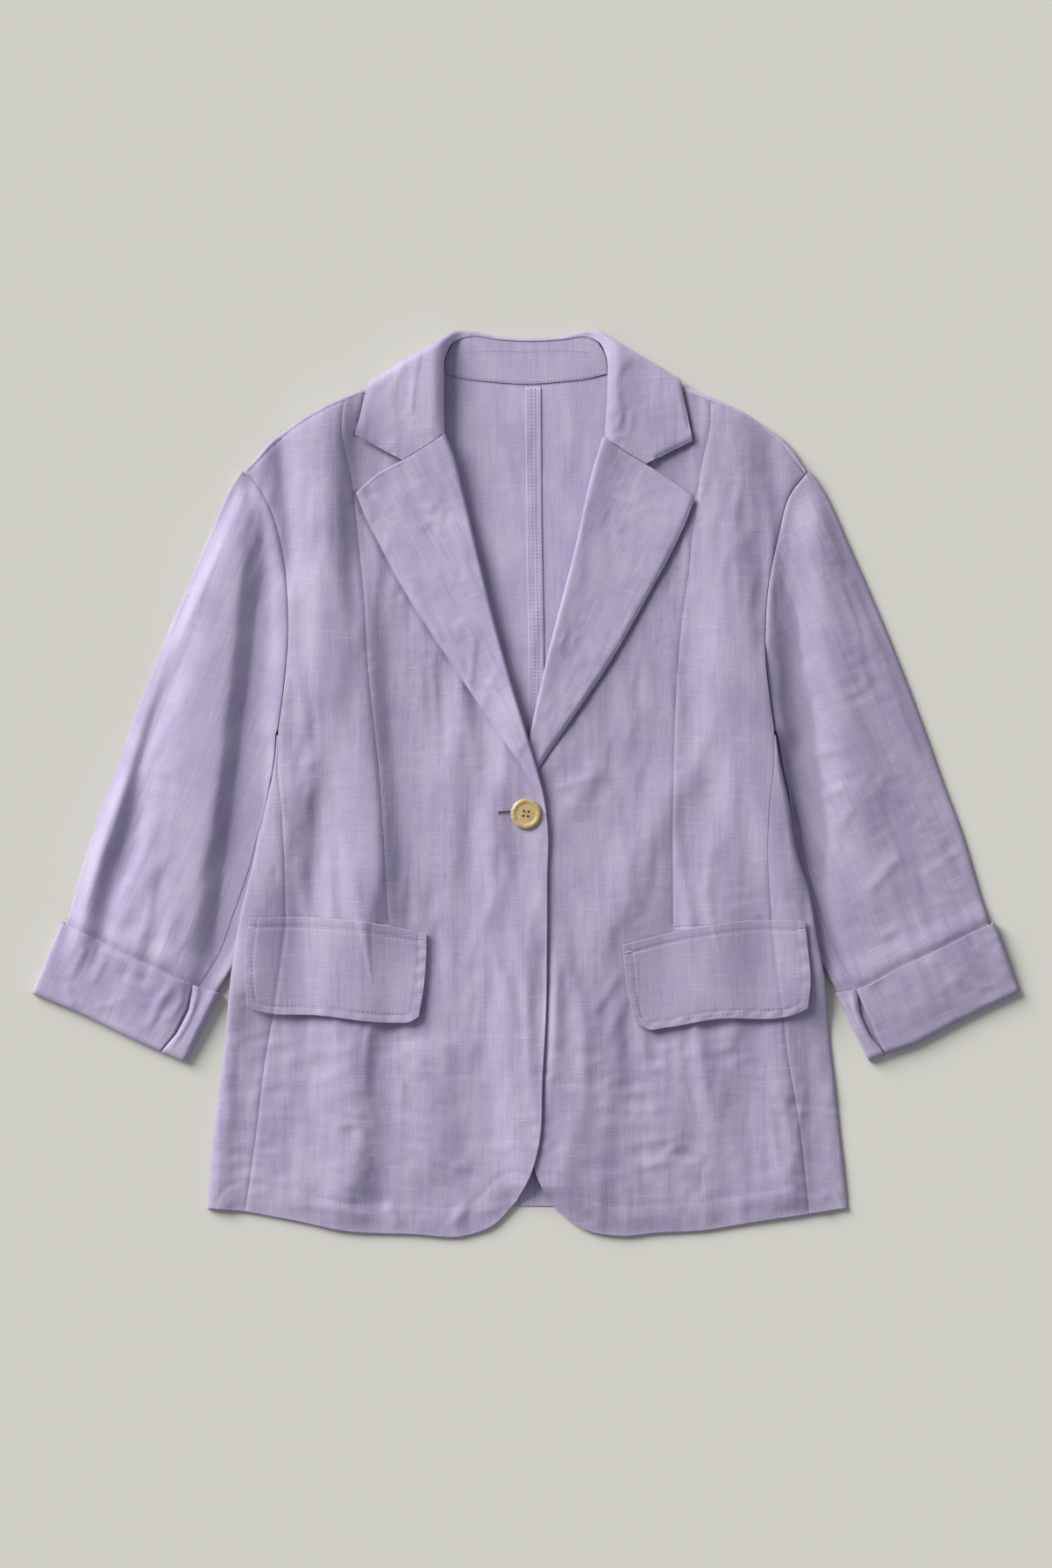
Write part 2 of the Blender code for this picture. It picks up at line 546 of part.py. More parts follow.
def sleeveHeight(side):
    """Middle of the sleeve's upper side."""
    floor = sleeveFloor(side)
    hollow = 3.2           # from the underside to the upper side, at the least

    def height(x, y):
        line = lines[side]
        inner = nearest(x, y, line["sleeveInner"].line[::3])[0]
        outer = nearest(x, y, line["sleeveOuter"].line[::3])[0]
        seam = nearest(x, y, line["armhole"].line[::3])[0]
        body = floor(x, y) + hollow + 1.6 * smooth(inner, 2, 40) + 0.6 * smooth(-outer, -8, 0)
        body = body + relief(x, y, sleeveFolds) * smooth(inner, 4, 26) * smooth(outer, 2, 14)
        into = smooth(floor(x, y), ground, ground + layerStep)
        body = body - into * 0.45 * (body - floor(x, y) - hollow)
        join = smooth(seam, 1, 26)
        return join * body + (1 - join) * np.minimum(frontHeight(x, y, side), 4.6)

    return height


def sleevePlace(side):
    """The sleeve's outline: u from the outer fold to the armhole and inner fold, v down to its hem."""
    line = lines[side]
    bottom = seams[side]["cuffBottom"]
    sign = -1 if side == "left" else 1
    hem = curve([seams[side]["sleeveOuter"][-1]] + [(x - sign * 0.5, y + 2.8) for x, y in bottom[1:-1]]
                + [seams[side]["sleeveInner"][-1]])
    armhole = curve([(x + sign * 0.5, y) for x, y in seams[side]["armhole"]])
    head = curve([seams[side]["sleeveOuter"][0], armhole(0.0)])
    return patch(head, hem, line["sleeveOuter"], chain(armhole, line["sleeveInner"]))


def inseam(v):
    """Share of the sleeve's width at which the inseam lies: on the armhole, then near the inner fold."""
    return 0.999 - 0.055 * smooth(v, 0.44, 0.6) - 0.06 * smooth(v, 0.6, 0.9)


def makeSleeve(side):
    """Upper and under sleeve, seamed behind the outer fold and beside the inner one."""
    place = sleevePlace(side)
    hind = 0.12                # share of the underside that the upper sleeve takes
    underarm = 0.438           # share of the sleeve's length at which its inner fold starts
    rows = np.concatenate([np.linspace(0, underarm, armholeSteps + 1),
                           [0.51, 0.58, 0.65, 0.715, 0.77, 0.82, 0.87, 0.935, 1]])
    split = chain(lines[side]["armhole"], lines[side]["sleeveInner"]).starts[1]
    rows[:armholeSteps + 1] *= split / underarm
    rows[0] = 0.005
    heights = (sleeveHeight(side), sleeveFloor(side))
    upper = foldedGrid(place, place, rows, (8, 3, 1), 1.9, heights, ends=(inseam, hind))
    sheet(f"sleeve_top_{side}", [upper], linen)
    inner = flipped(place)
    under = foldedGrid(inner, inner, rows, (1, 3, 4), 1.4, heights,
                       ends=(lambda v: 1 - inseam(v), 0.999 - hind), closing=lambda v: smooth(v, 0.45, 0.5))
    sheet(f"sleeve_under_{side}", [under], linen)


def makeCuff(side):
    """The sleeve's end turned up: a flattened ring, split at the inseam."""
    line = lines[side]
    topEdge, lowEdge = seams[side]["cuffTop"], seams[side]["cuffBottom"]
    place = patch(line["cuffTop"], line["cuffBottom"], curve([topEdge[0], lowEdge[0]]),
                  curve([topEdge[-1], lowEdge[-1]]))
    split = 0.865
    rows = np.linspace(0, 1, 4)
    v = rows[:, None]
    width = np.linalg.norm(place(1.0, v) - place(0.0, v), axis=-1)
    angle = np.linspace(np.pi / 2, -np.pi / 2, 4)[None, :]
    rounding = 2.2
    bend = (cloth / 2 + rounding * (1 - np.cos(angle))) / width
    slit = 0.5 / width
    reach = (cloth / 2 + rounding) / width

    def spread(first, last, count):
        return first + (last - first) * np.linspace(0, 1, count)[None, :]

    u = np.concatenate([spread(split - slit, reach, 7)[:, :-1], bend, spread(reach, 1 - reach, 6)[:, 1:-1],
                        1 - bend[:, ::-1], spread(1 - reach, split + slit, 3)[:, 1:]], axis=1)
    curl = np.sin(angle[0])
    turn = np.concatenate([np.ones(6), curl, -np.ones(4), curl[::-1], np.ones(2)])[None, :]
    plan = place(u, np.broadcast_to(v, u.shape))
    x, y = plan[..., 0], plan[..., 1]
    high = sleeveHeight(side)(x, y) + layerStep
    hemLevel = 7.6
    high = high - (high - hemLevel) * 0.4 * smooth(v, 0.1, 0.7)
    height = (high + ground) / 2 + turn * (high - ground) / 2
    sheet(f"cuff_{side}", [raised(plan, height)], linen)


def makeFlap(side):
    line = lines[side]
    place = patch(line["flapTop"], line["flapBottom"], line["flapOuter"], line["flapInner"])

    def height(x, y):
        return frontHeight(x, y, side) + layerStep + 0.4

    sheet(f"flap_{side}", [flatGrid(place, 145, 70, 8, 4, height)], linen)


def makeButton():
    """A turned disc with a raised rim and four holes."""
    x, y = buttonPlace
    ring = np.linspace(0, 2 * np.pi, 24, endpoint=False)
    reach = 0.9 * buttonRadius
    under = frontHeight(x + reach * np.cos(ring), y + reach * np.sin(ring), "left").max()
    base = under + cloth / 2 + 0.5
    rim, dish = buttonRadius, 0.8
    profile = [(0, buttonThickness - dish), (rim * 0.62, buttonThickness - dish),
               (rim * 0.76, buttonThickness - 0.1),
               (rim * 0.86, buttonThickness), (rim * 0.97, buttonThickness - 0.7),
               (rim, buttonThickness * 0.5), (rim * 0.95, 0.5), (rim * 0.82, 0), (0, 0)]
    mesh = bpy.data.meshes.new("button")
    build = bmesh.new()
    points = [build.verts.new((px * mm, 0, pz * mm)) for px, pz in profile]
    for a, b in zip(points[:-1], points[1:]):
        build.edges.new((a, b))
    build.to_mesh(mesh)
    build.free()
    button = bpy.data.objects.new("button", mesh)
    button.location = (x * mm, y * mm, base * mm)
    turned = button.modifiers.new("Turned disc", "SCREW")
    turned.steps = 20
    turned.render_steps = 20
    turned.use_merge_vertices = True
    turned.merge_threshold = 0.00001
    turned.use_normal_calculate = False
    finish(button, horn, 0.4)
    away, hole, holes = 2.7, 0.8, 4      # from the middle to each hole, its radius, and how many
    for number in range(holes):
        turn = np.pi / 4 + number * 2 * np.pi / holes - 0.12
        bpy.ops.mesh.primitive_cylinder_add(vertices=6, radius=hole * mm, depth=12 * mm)
        drill = bpy.context.object
        drill.name = f"drill_{number + 1}"
        drill.location = ((x + away * np.cos(turn)) * mm, (y + away * np.sin(turn)) * mm, base * mm)
        drill.hide_render = True
        drill.display_type = "WIRE"
        for owner in list(drill.users_collection):
            owner.objects.unlink(drill)
        cutters.objects.link(drill)
        cut = button.modifiers.new(f"Hole {number + 1}", "BOOLEAN")
        cut.operation = "DIFFERENCE"
        cut.solver = "EXACT"
        cut.object = drill


for old in list(bpy.data.objects):
    bpy.data.objects.remove(old, do_unlink=True)
blazer = bpy.data.collections.new("Single breasted blazer")
cutters = bpy.data.collections.new("Cutters")
for group in (blazer, cutters):
    bpy.context.scene.collection.children.link(group)

for half in ("left", "right"):
    makeBack(half)
    makeSidePanel(half)
    makeSideFront(half)
    makeFront(half)
    makeLapel(half)
    makeSleeve(half)
    makeCuff(half)
    makeFlap(half)
makeStand()
makeCollar()
makeButton()
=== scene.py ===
import math

import bmesh
import bpy
import numpy as np
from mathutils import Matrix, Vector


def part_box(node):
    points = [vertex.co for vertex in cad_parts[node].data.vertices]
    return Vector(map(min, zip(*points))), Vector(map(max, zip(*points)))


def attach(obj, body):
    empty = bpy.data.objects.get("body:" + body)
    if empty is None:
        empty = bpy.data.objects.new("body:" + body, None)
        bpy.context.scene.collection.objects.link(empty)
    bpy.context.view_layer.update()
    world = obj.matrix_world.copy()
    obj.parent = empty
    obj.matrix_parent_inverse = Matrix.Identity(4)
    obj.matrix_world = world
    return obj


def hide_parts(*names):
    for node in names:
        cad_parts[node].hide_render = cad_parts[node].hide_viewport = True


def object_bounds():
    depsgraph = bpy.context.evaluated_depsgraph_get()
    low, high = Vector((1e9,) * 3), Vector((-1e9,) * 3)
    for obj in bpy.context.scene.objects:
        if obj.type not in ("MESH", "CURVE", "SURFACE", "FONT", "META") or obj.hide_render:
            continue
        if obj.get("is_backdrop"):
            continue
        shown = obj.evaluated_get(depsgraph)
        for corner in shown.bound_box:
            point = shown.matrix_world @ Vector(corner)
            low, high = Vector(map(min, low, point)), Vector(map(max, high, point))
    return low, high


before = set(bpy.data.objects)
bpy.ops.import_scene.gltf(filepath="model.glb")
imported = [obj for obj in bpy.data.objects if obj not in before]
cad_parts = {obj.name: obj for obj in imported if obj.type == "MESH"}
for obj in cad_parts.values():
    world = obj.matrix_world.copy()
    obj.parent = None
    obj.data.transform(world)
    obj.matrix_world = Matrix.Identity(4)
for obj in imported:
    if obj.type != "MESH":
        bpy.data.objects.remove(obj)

cadLow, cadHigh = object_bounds()
tableWidth = 798.9                         # from cuff to cuff in the tables below
mm = (cadHigh.x - cadLow.x) / tableWidth

# Layers, from the surface up
layers = {
    "cloth": 0.9,          # thickness of one layer of linen
    "seamGap": 0.06,
    "step": 1.9,           # from one layer to the next
    "front": 4.3,          # middle of a front where nothing lifts it
    "fallRise": 2.0,       # over the collar's fall
    "sideRise": 9.0,       # over the sleeve that lies under the body's side
    "wadding": 1.5,        # along the shoulder and armhole seams
}
ground = layers["cloth"] / 2

# Seams and edges in millimetres from the blazer's middle
seams = {
    "left": {
        "shoulderFold": [(-226, 256), (-214, 270), (-205, 280), (-191.5, 290), (-174.5, 300.5),
                         (-150, 313)],
        "neckFold": [(-150, 313), (-136, 319), (-120, 324), (-100, 334), (-80, 344)],
        "armhole": [(-226, 251), (-217, 241), (-205, 218), (-197, 188), (-193, 155), (-192, 120),
                    (-194, 90), (-200, 44)],
        "princess": [(-150, 309), (-149, 290), (-141, 245), (-135, 190), (-131, 150), (-128, 100),
                     (-118, 0), (-111, -113)],
        "sideFront": [(-200, 44), (-200, 10), (-197, -20), (-195, -60), (-194, -112)],
        "sideFrontLow": [(-194, -112), (-204, -184), (-210, -218), (-219.5, -294), (-227, -346)],
        "sideFold": [(-201.2, 44), (-203, 20), (-210, -20), (-220, -63), (-230, -103), (-237, -145),
                     (-243, -200), (-250, -260), (-259.5, -343)],
        "sideBack": [(-197, 44), (-190, -343)],
        "roll": [(-65, 338), (-65, 300), (-60, 270), (-50, 232), (-42, 198), (-16, 95.5), (2, 35),
                 (9, 11), (14, -8)],
        "frontEdge": [(15.6, -18), (17, -28), (18, -40), (17.3, -75), (17.2, -115)],
        "frontEdgeLow": [(17.2, -115), (16.4, -181), (13.5, -237), (10, -294), (4, -315), (-8, -338)],
        "hem": [(-227, -346), (-185, -354), (-149, -361.5), (-92, -364.5), (-50, -366), (-28, -358),
                (-8, -338)],
        "lapelTop": [(-65, 282), (-100, 261), (-120, 250), (-137, 235)],
        "lapelTip": [(-101, 260.5), (-120, 250), (-137, 235)],
        "collarSide": [(-127, 326), (-137, 282)],
        "collarFoot": [(-137, 282), (-101, 262)],
        "lapelEdge": [(-137, 235), (-130, 217), (-121, 199), (-100, 160), (-57, 93), (-24, 44),
                      (-2.5, 13), (9, -6), (15.4, -24)],
        "sleeveOuter": [(-228.5, 255), (-239, 240), (-250.6, 215), (-257, 200), (-274, 160),
                        (-299.6, 100), (-322, 40), (-336.5, 0), (-350.7, -40), (-363, -80),
                        (-371.5, -111), (-394.5, -165)],
        "sleeveInner": [(-202, 42), (-203.4, 22), (-206, 2), (-208, -30), (-214, -65), (-224, -105),
                        (-235.5, -145), (-251.5, -171), (-279, -219)],
        "cuffTop": [(-375.5, -111.5), (-355, -121), (-330, -134), (-300, -148), (-270, -162),
                    (-248, -169)],
        "cuffBottom": [(-400, -169), (-388, -174), (-362, -185), (-312, -209), (-276, -225)],
        "flapTop": [(-223, -108), (-180, -107.6), (-132, -111), (-80, -121)],
        "flapBottom": [(-224.5, -180), (-217, -183), (-166, -187), (-105, -193), (-94, -192.5),
                       (-86.5, -188)],
        "flapOuter": [(-223, -108), (-226, -125), (-227.5, -150), (-224.5, -180)],
        "flapInner": [(-80, -121), (-80.5, -140), (-82.5, -165), (-86.5, -188)],
    },
    "right": {
        "shoulderFold": [(226, 256), (216.5, 270), (207.3, 280), (194.5, 290), (178, 300.5),
                         (152, 313)],
        "neckFold": [(152, 313), (136, 319), (120, 324), (100, 334), (80, 344)],
        "armhole": [(225, 250), (214, 236), (204, 203), (197, 170), (193, 130), (193, 100), (196, 72),
                    (200, 44)],
        "princess": [(152, 309), (149, 290), (143, 262), (135, 205), (131, 165), (128, 145), (119, 0),
                     (119, -116)],
        "sideFront": [(200, 44), (199.5, 15), (196, -20), (195, -50), (198, -110)],
        "sideFrontLow": [(198, -110), (207, -185), (212, -225), (219, -265), (229, -348)],
        "sideFold": [(201.2, 44), (205, 18), (212, -15), (218, -55), (228, -85), (236, -130),
                     (240, -150), (245, -200), (251.5, -260), (260.5, -343)],
        "sideBack": [(197, 44), (190, -343)],
        "roll": [(65, 338), (64, 310), (60, 278), (53, 250), (42, 200), (15.5, 95.5), (3, 39),
                 (-3, 10), (-8, -15)],
        "frontEdge": [(-14, -30), (-17, -45), (-16, -80), (-12, -125)],
        "frontEdgeLow": [(-12, -125), (-5, -195), (0, -250), (3, -290), (7, -312), (20, -340)],
        "hem": [(229, -348), (190, -354), (137, -362), (105, -363.5), (76, -366), (46, -360),
                (20, -340)],
        "lapelTop": [(62, 280), (80, 268), (97, 258), (120, 243), (136, 231)],
        "lapelTip": [(98, 257.5), (120, 243), (136, 231)],
        "collarSide": [(125, 326), (134, 277)],
        "collarFoot": [(134, 277), (98, 259.5)],
        "lapelEdge": [(136, 231), (130, 214), (120, 192), (100, 155), (66, 95.5), (38, 54), (9.5, 12),
                      (-5, -12)],
        "sleeveOuter": [(228.5, 255), (239.3, 240), (252, 215), (258.4, 200), (276, 160), (301, 100),
                        (323.8, 40), (338, 0), (353, -40), (365, -80), (374.5, -112), (394.5, -164)],
        "sleeveInner": [(202.3, 42), (206.5, 20), (211.5, -5), (214, -30), (217, -60), (225, -100),
                        (236.5, -140), (253.5, -171), (280, -218)],
        "cuffTop": [(378.5, -111.5), (350, -125), (322, -139), (300, -149), (270, -165), (250, -169)],
        "cuffBottom": [(399.5, -168), (363, -185), (338, -198), (313, -211), (292, -218), (277, -224)],
        "flapTop": [(225, -110.5), (183, -110), (122, -119), (78, -130)],
        "flapBottom": [(227.5, -181), (218, -185.5), (152, -190), (112, -197), (100, -198.5),
                       (88, -192)],
        "flapOuter": [(225, -110.5), (227, -130), (229.5, -160), (227.5, -181)],
        "flapInner": [(78, -130), (80, -150), (83, -172), (88, -192)],
    },
}
centreBack = [(12.5, 324), (13.5, 200), (15, 100), (14, 0), (12, -100), (9, -250), (7, -342)]
backNeck = [(30, 326), (50, 328.5), (62, 331), (74, 338), (80, 346.3)]
standTop = [(-57.5, 359), (-48, 362.5), (-20, 360.3), (0, 359.3), (30, 360.8), (48, 362.5),
            (57.5, 359)]
standLow = [(-66, 332), (-50, 328), (-30, 325.6), (0, 323.6), (30, 325.6), (50, 328), (66, 332)]
collarCrease = [(-150, 306), (-136, 318), (-127, 326), (-118, 331), (-101.5, 341.5), (-86, 350.5),
                (-69, 360.5), (-57, 367), (-48, 367), (-20, 362), (0, 361), (30, 362.5), (48, 367),
                (58, 367), (69.5, 360.5), (86, 350.5), (102, 341.5), (118.6, 331), (127, 326),
                (136, 318), (150, 306)]
collarNeck = [(-65, 283), (-66, 305), (-66, 328), (-65, 346), (-58, 358), (-48, 362), (-20, 359.5),
              (0, 358.5), (30, 360), (48, 362), (58, 358), (64, 346), (65, 328), (64, 303), (62, 281)]
collarEdge = [(-137.5, 282), (-134, 295), (-128, 322), (-123, 345), (-108, 376), (-80, 402),
              (-45, 414), (0, 416), (45, 414), (80, 402), (108, 376), (123, 345), (125, 322),
              (131, 295), (134.5, 277)]


def smooth(value, low, high):
    share = np.clip((value - low) / (high - low), 0, 1)
    return share * share * (3 - 2 * share)


def limited(value, knee, most):            # levels off above knee and stays under most
    return np.minimum(value, knee) + (most - knee) * np.tanh(np.maximum(value - knee, 0) / (most - knee))


def curve(points, detail=16):              # a smooth line through points, by the share of its length
    knots = np.array(points, float)
    chord = np.concatenate(([0], np.cumsum(np.linalg.norm(np.diff(knots, axis=0), axis=1))))
    slope = np.gradient(knots, chord, axis=0)
    along = np.linspace(0, chord[-1], detail * len(knots))
    span = np.clip(np.searchsorted(chord, along, side="right") - 1, 0, len(knots) - 2)
    length = (chord[span + 1] - chord[span])[:, None]
    t = (along - chord[span])[:, None] / length
    line = ((2 * t**3 - 3 * t**2 + 1) * knots[span] + (t**3 - 2 * t**2 + t) * length * slope[span]
            + (3 * t**2 - 2 * t**3) * knots[span + 1] + (t**3 - t**2) * length * slope[span + 1])
    run = np.concatenate(([0], np.cumsum(np.linalg.norm(np.diff(line, axis=0), axis=1))))

    def place(share):
        at = np.asarray(share, float) * run[-1]
        return np.stack([np.interp(at, run, line[:, i]) for i in range(2)], axis=-1)

    place.line = line
    place.length = run[-1]
    return place


def chain(*parts):                         # lines joined end to end
    total = sum(part.length for part in parts)
    starts = np.cumsum([0] + [part.length / total for part in parts])

    def place(share):
        at = np.asarray(share, float)
        out = parts[0](np.clip(at / starts[1], 0, 1))
        for i in range(1, len(parts)):
            local = np.clip((at - starts[i]) / (starts[i + 1] - starts[i]), 0, 1)
            out = np.where((at > starts[i])[..., None], parts[i](local), out)
        return out

    place.line = np.concatenate([part.line for part in parts])
    place.length = total
    return place


def patch(top, bottom, first, last):       # u along top and bottom, v down first (u = 0) and last (u = 1)
    corners = [edge(np.array(end)) for edge in (top, bottom) for end in (0.0, 1.0)]

    def place(u, v):
        u, v = np.broadcast_arrays(u, v)
        across, down = u[..., None], v[..., None]
        lofted = (1 - down) * top(u) + down * bottom(u) + (1 - across) * first(v) + across * last(v)
        flat = ((1 - across) * (1 - down) * corners[0] + across * (1 - down) * corners[1]
                + (1 - across) * down * corners[2] + across * down * corners[3])
        return lofted - flat

    return place


def nearest(x, y, line):
    # distance to a line, the foot on it, its share of the way along, and the side of the line
    best = np.full(np.shape(x), 1e9)
    foot = np.zeros(np.shape(x) + (2,))
    share = np.zeros(np.shape(x))
    side = np.ones(np.shape(x))
    count = len(line) - 1
    for i, ((ax, ay), (bx, by)) in enumerate(zip(line[:-1], line[1:])):
        square = (bx - ax) ** 2 + (by - ay) ** 2
        if square == 0:
            continue
        t = np.clip(((x - ax) * (bx - ax) + (y - ay) * (by - ay)) / square, 0, 1)
        footX, footY = ax + t * (bx - ax), ay + t * (by - ay)
        away = np.hypot(x - footX, y - footY)
        closer = away < best
        best = np.where(closer, away, best)
        share = np.where(closer, (i + t) / count, share)
        side = np.where(closer, np.sign((bx - ax) * (y - ay) - (by - ay) * (x - ax)), side)
        foot = np.where(closer[..., None], np.stack([footX, footY], axis=-1), foot)
    return best, foot, share, side


shoulderInset = (2.6, 4.0)                 # the seams lie in front of the shoulders' folds
for table in seams.values():
    for seam, fold in (("shoulder", "shoulderFold"), ("shoulderNeck", "neckFold")):
        table[seam] = [(x - np.sign(x) * shoulderInset[0], y - shoulderInset[1]) for x, y in table[fold]]
    table["shoulder"][0] = table["armhole"][0]
    table["princess"][0] = table["shoulder"][-1]
lines = {side: {name: curve(points) for name, points in table.items()} for side, table in seams.items()}


def toSeam(x, y, *names, half=None, thin=3):     # distance to the nearest of some seams
    best = np.full(np.shape(x), 1e9)
    for side in (half,) if half else seams:
        for name in names:
            best = np.minimum(best, nearest(x, y, lines[side][name].line[::thin])[0])
    return best


def acrossAt(y, *names, side):             # x of a line that runs down the body, at height y
    line = np.concatenate([lines[side][name].line for name in names])[::-1]
    return np.interp(y, line[:, 1], line[:, 0])


# Heights of folds and creases on a grid of 1 mm, read between its points
class Relief:
    def __init__(self, low, high):
        self.low, self.shape = low, (high[1] - low[1], high[0] - low[0])
        self.heights = np.zeros(self.shape)
        self.y, self.x = np.mgrid[low[1]:high[1], low[0]:high[0]].astype(float)

    def at(self, x, y):
        column = np.clip(x - self.low[0], 0, self.shape[1] - 1.001)
        row = np.clip(y - self.low[1], 0, self.shape[0] - 1.001)
        i, j = row.astype(int), column.astype(int)
        s, t = row - i, column - j
        h = self.heights
        return ((1 - s) * ((1 - t) * h[i, j] + t * h[i, j + 1])
                + s * ((1 - t) * h[i + 1, j] + t * h[i + 1, j + 1]))

    def clouds(self, seed, along, across, angle):
        # soft random heights with features that long and wide, turned by angle from the y axis
        rows = np.fft.fftfreq(self.shape[0])[:, None]
        columns = np.fft.fftfreq(self.shape[1])[None, :]
        turn = math.radians(angle)
        lengthwise = rows * math.cos(turn) - columns * math.sin(turn)
        sideways = rows * math.sin(turn) + columns * math.cos(turn)
        reach = (lengthwise * along) ** 2 + (sideways * across) ** 2
        band = np.exp(-2.2 * reach) * (1 - np.exp(-9 * reach))
        field = np.random.default_rng(seed).standard_normal(self.shape)
        field = np.fft.ifft2(np.fft.fft2(field) * band).real
        return field / field.std()

    def softened(self, width):             # a copy without what is narrower than width
        copy = Relief(self.low, (self.low[0] + self.shape[1], self.low[1] + self.shape[0]))
        rows = np.fft.fftfreq(self.shape[0])[:, None]
        columns = np.fft.fftfreq(self.shape[1])[None, :]
        keep = np.exp(-2 * (math.pi * width) ** 2 * (rows**2 + columns**2))
        copy.heights = np.fft.ifft2(np.fft.fft2(self.heights) * keep).real
        return copy

    def crumple(self, seed, along, across, angle, height, where=1.0):
        # creases where two random slopes meet, with soft crests, stronger in some places
        crest = 0.8 - np.sqrt(self.clouds(seed, along, across, angle)**2 + 0.35**2)
        strength = 0.55 + 0.45 * self.clouds(seed + 7, 3 * along, 3 * across, angle)
        self.heights += height * where * crest * strength

    def fold(self, row):
        # one fold, given as a row of the tables below
        x0, y0, x1, y1, x2, y2, width, height, steep = row
        reach = 3 * width
        line = curve([(x0, y0), (x1, y1), (x2, y2)]).line[::6]
        left, right = line[:, 0].min() - reach, line[:, 0].max() + reach
        low, high = line[:, 1].min() - reach, line[:, 1].max() + reach
        i0, i1 = (int(np.clip(v - self.low[1], 0, self.shape[0])) for v in (low, high))
        j0, j1 = (int(np.clip(v - self.low[0], 0, self.shape[1])) for v in (left, right))
        away, foot, share, side = nearest(self.x[i0:i1, j0:j1], self.y[i0:i1, j0:j1], line)
        facing = np.clip(side * away / width, -1, 1)
        spread = width * (1 - 0.5 * steep * facing)
        ends = smooth(share, 0, 0.25) * (1 - smooth(share, 0.75, 1))
        self.heights[i0:i1, j0:j1] += height * ends * np.exp(-(away / spread) ** 2)


# Each row: x, y of three points on the fold's crest, half width, height, how much steeper its right side is
bodyFolds = [
    (-158, 350, -160, 200, -163, -20, 22, 11.0, 0.6),      # from the shoulders down to the hem
    (-140, 200, -131, 30, -110, -190, 23, 10.0, 0.6),
    (-130, -20, -141, -240, -138, -450, 24, 8.5, 0.5),
    (-236, -130, -244, -250, -252, -400, 12, 3.0, 0),
    (195, 150, 200, 30, 213, -150, 17, 7.0, 0.2),
    (26, -40, 30, -220, 32, -440, 55, 6.0, -0.3),
    (-72, -190, -76, -270, -78, -355, 26, 4.4, 0.3),
    (-202, 315, -193, 240, -187, 120, 10, -5.5, 0),
    (-64, 70, -60, -30, -66, -120, 15, 2.6, 0.2),
    (-30, 20, -24, -60, -26, -140, 12, 2.0, 0.3),
    (165, 350, 166, 180, 164, -20, 27, 6.5, 0.1),
    (180, 220, 162, -60, 136, -420, 28, 7.5, 0.2),
    (136, 30, 92, -60, 50, -170, 17, 4.6, 0.2),
    (62, 22, 46, -6, 28, -34, 9, 2.2, 0),
    (204, -150, 210, -270, 218, -400, 19, 5.6, 0.4),
    (34, -160, 36, -270, 38, -400, 20, 2.4, -0.6),
    (20, -5, 42, 2, 66, 10, 3.5, 0.8, 0),                  # drag lines beside the button and flap
    (22, -18, 45, -20, 72, -14, 4, 0.7, 0),
    (76, -150, 64, -172, 48, -192, 4, 1.0, 0.3),
    (84, -165, 74, -190, 60, -214, 4, 0.8, 0.3),
    (-145, -338, -125, -336, -104, -339, 8, -1.8, 0),      # along the hem
    (-112, -338, -106, -350, -100, -362, 4, 1.5, 0.4),
    (-62, -360, -52, -345, -40, -330, 4, 1.3, 0.3),
    (135, -330, 146, -346, 156, -362, 8, 1.8, 0),
    (95, -310, 112, -305, 131, -303, 3.5, 0.9, 0),
    (100, -229, 115, -233, 131, -241, 3.5, 0.9, 0),
    (-100, -236, -100, -248, -99, -262, 3.5, 0.8, 0),
    (-62, -312, -52, -309, -40, -311, 3.5, 0.9, 0),
]
sleeveFolds = {
    "left": [
        (-226, 270, -256, 20, -297, -250, 28, 13.0, 0.8),
        (-211, 240, -228, 20, -259, -230, 15, -6.0, 0),
        (-290, 60, -308, -70, -330, -230, 12, 2.2, 0.5),
        (-318, 20, -346, -70, -368, -180, 14, 6.0, 0.3),
        (-330, -40, -339, -85, -345, -150, 10, -3.0, 0),
        (-272, 200, -318, 30, -368, -150, 11, 5.2, 0.6),
        (-290, 130, -312, 15, -352, -130, 9, -2.6, 0),
        (-300, -60, -316, -90, -328, -125, 8, 1.4, 0),
        (-292, -28, -280, -34, -268, -44, 4, 0.8, 0),
        (-304, -66, -288, -70, -274, -82, 4, 0.9, 0),
    ],
    "right": [
        (226, 270, 250, 90, 275, -110, 23, 7.0, -0.2),
        (208, 200, 218, 60, 240, -130, 22, -8.0, 0),
        (220, -10, 232, -90, 248, -190, 11, -3.4, 0),
        (262, 20, 280, -60, 300, -130, 26, 3.4, 0.2),
        (276, 150, 300, 70, 322, 0, 15, 2.2, 0.3),
        (240, -12, 250, -6, 262, 2, 3.5, 1.1, 0),
        (252, -40, 258, -28, 268, -12, 3.5, 1.0, 0),
        (275, -90, 292, -68, 312, -52, 4.5, 1.3, 0),
        (230, 23, 248, 27, 265, 25, 3.5, 0.9, 0),
        (285, -125, 294, -120, 303, -113, 3.5, 0.9, 0),
    ],
}
body = Relief((-290, -385), (290, 385))
low = 1 - smooth(body.y, -215, -165)                   # below the pocket flaps
body.crumple(11, 110, 24, 3, 1.5, 1 - 0.3 * low)
body.crumple(12, 46, 13, 0, 0.6, 1 - 0.4 * low)
body.crumple(13, 18, 40, 6, 0.42, low)
body.crumple(14, 12, 22, -6, 0.45, 0.25 + 0.75 * low)
body.crumple(15, 9, 8, 0, 0.15)
for row in bodyFolds:
    body.fold(row)
calm = body.softened(11)                               # what lies on the fronts bridges their small creases
sleeveRelief = {"left": Relief((-415, -240), (-175, 275)), "right": Relief((175, -240), (415, 275))}
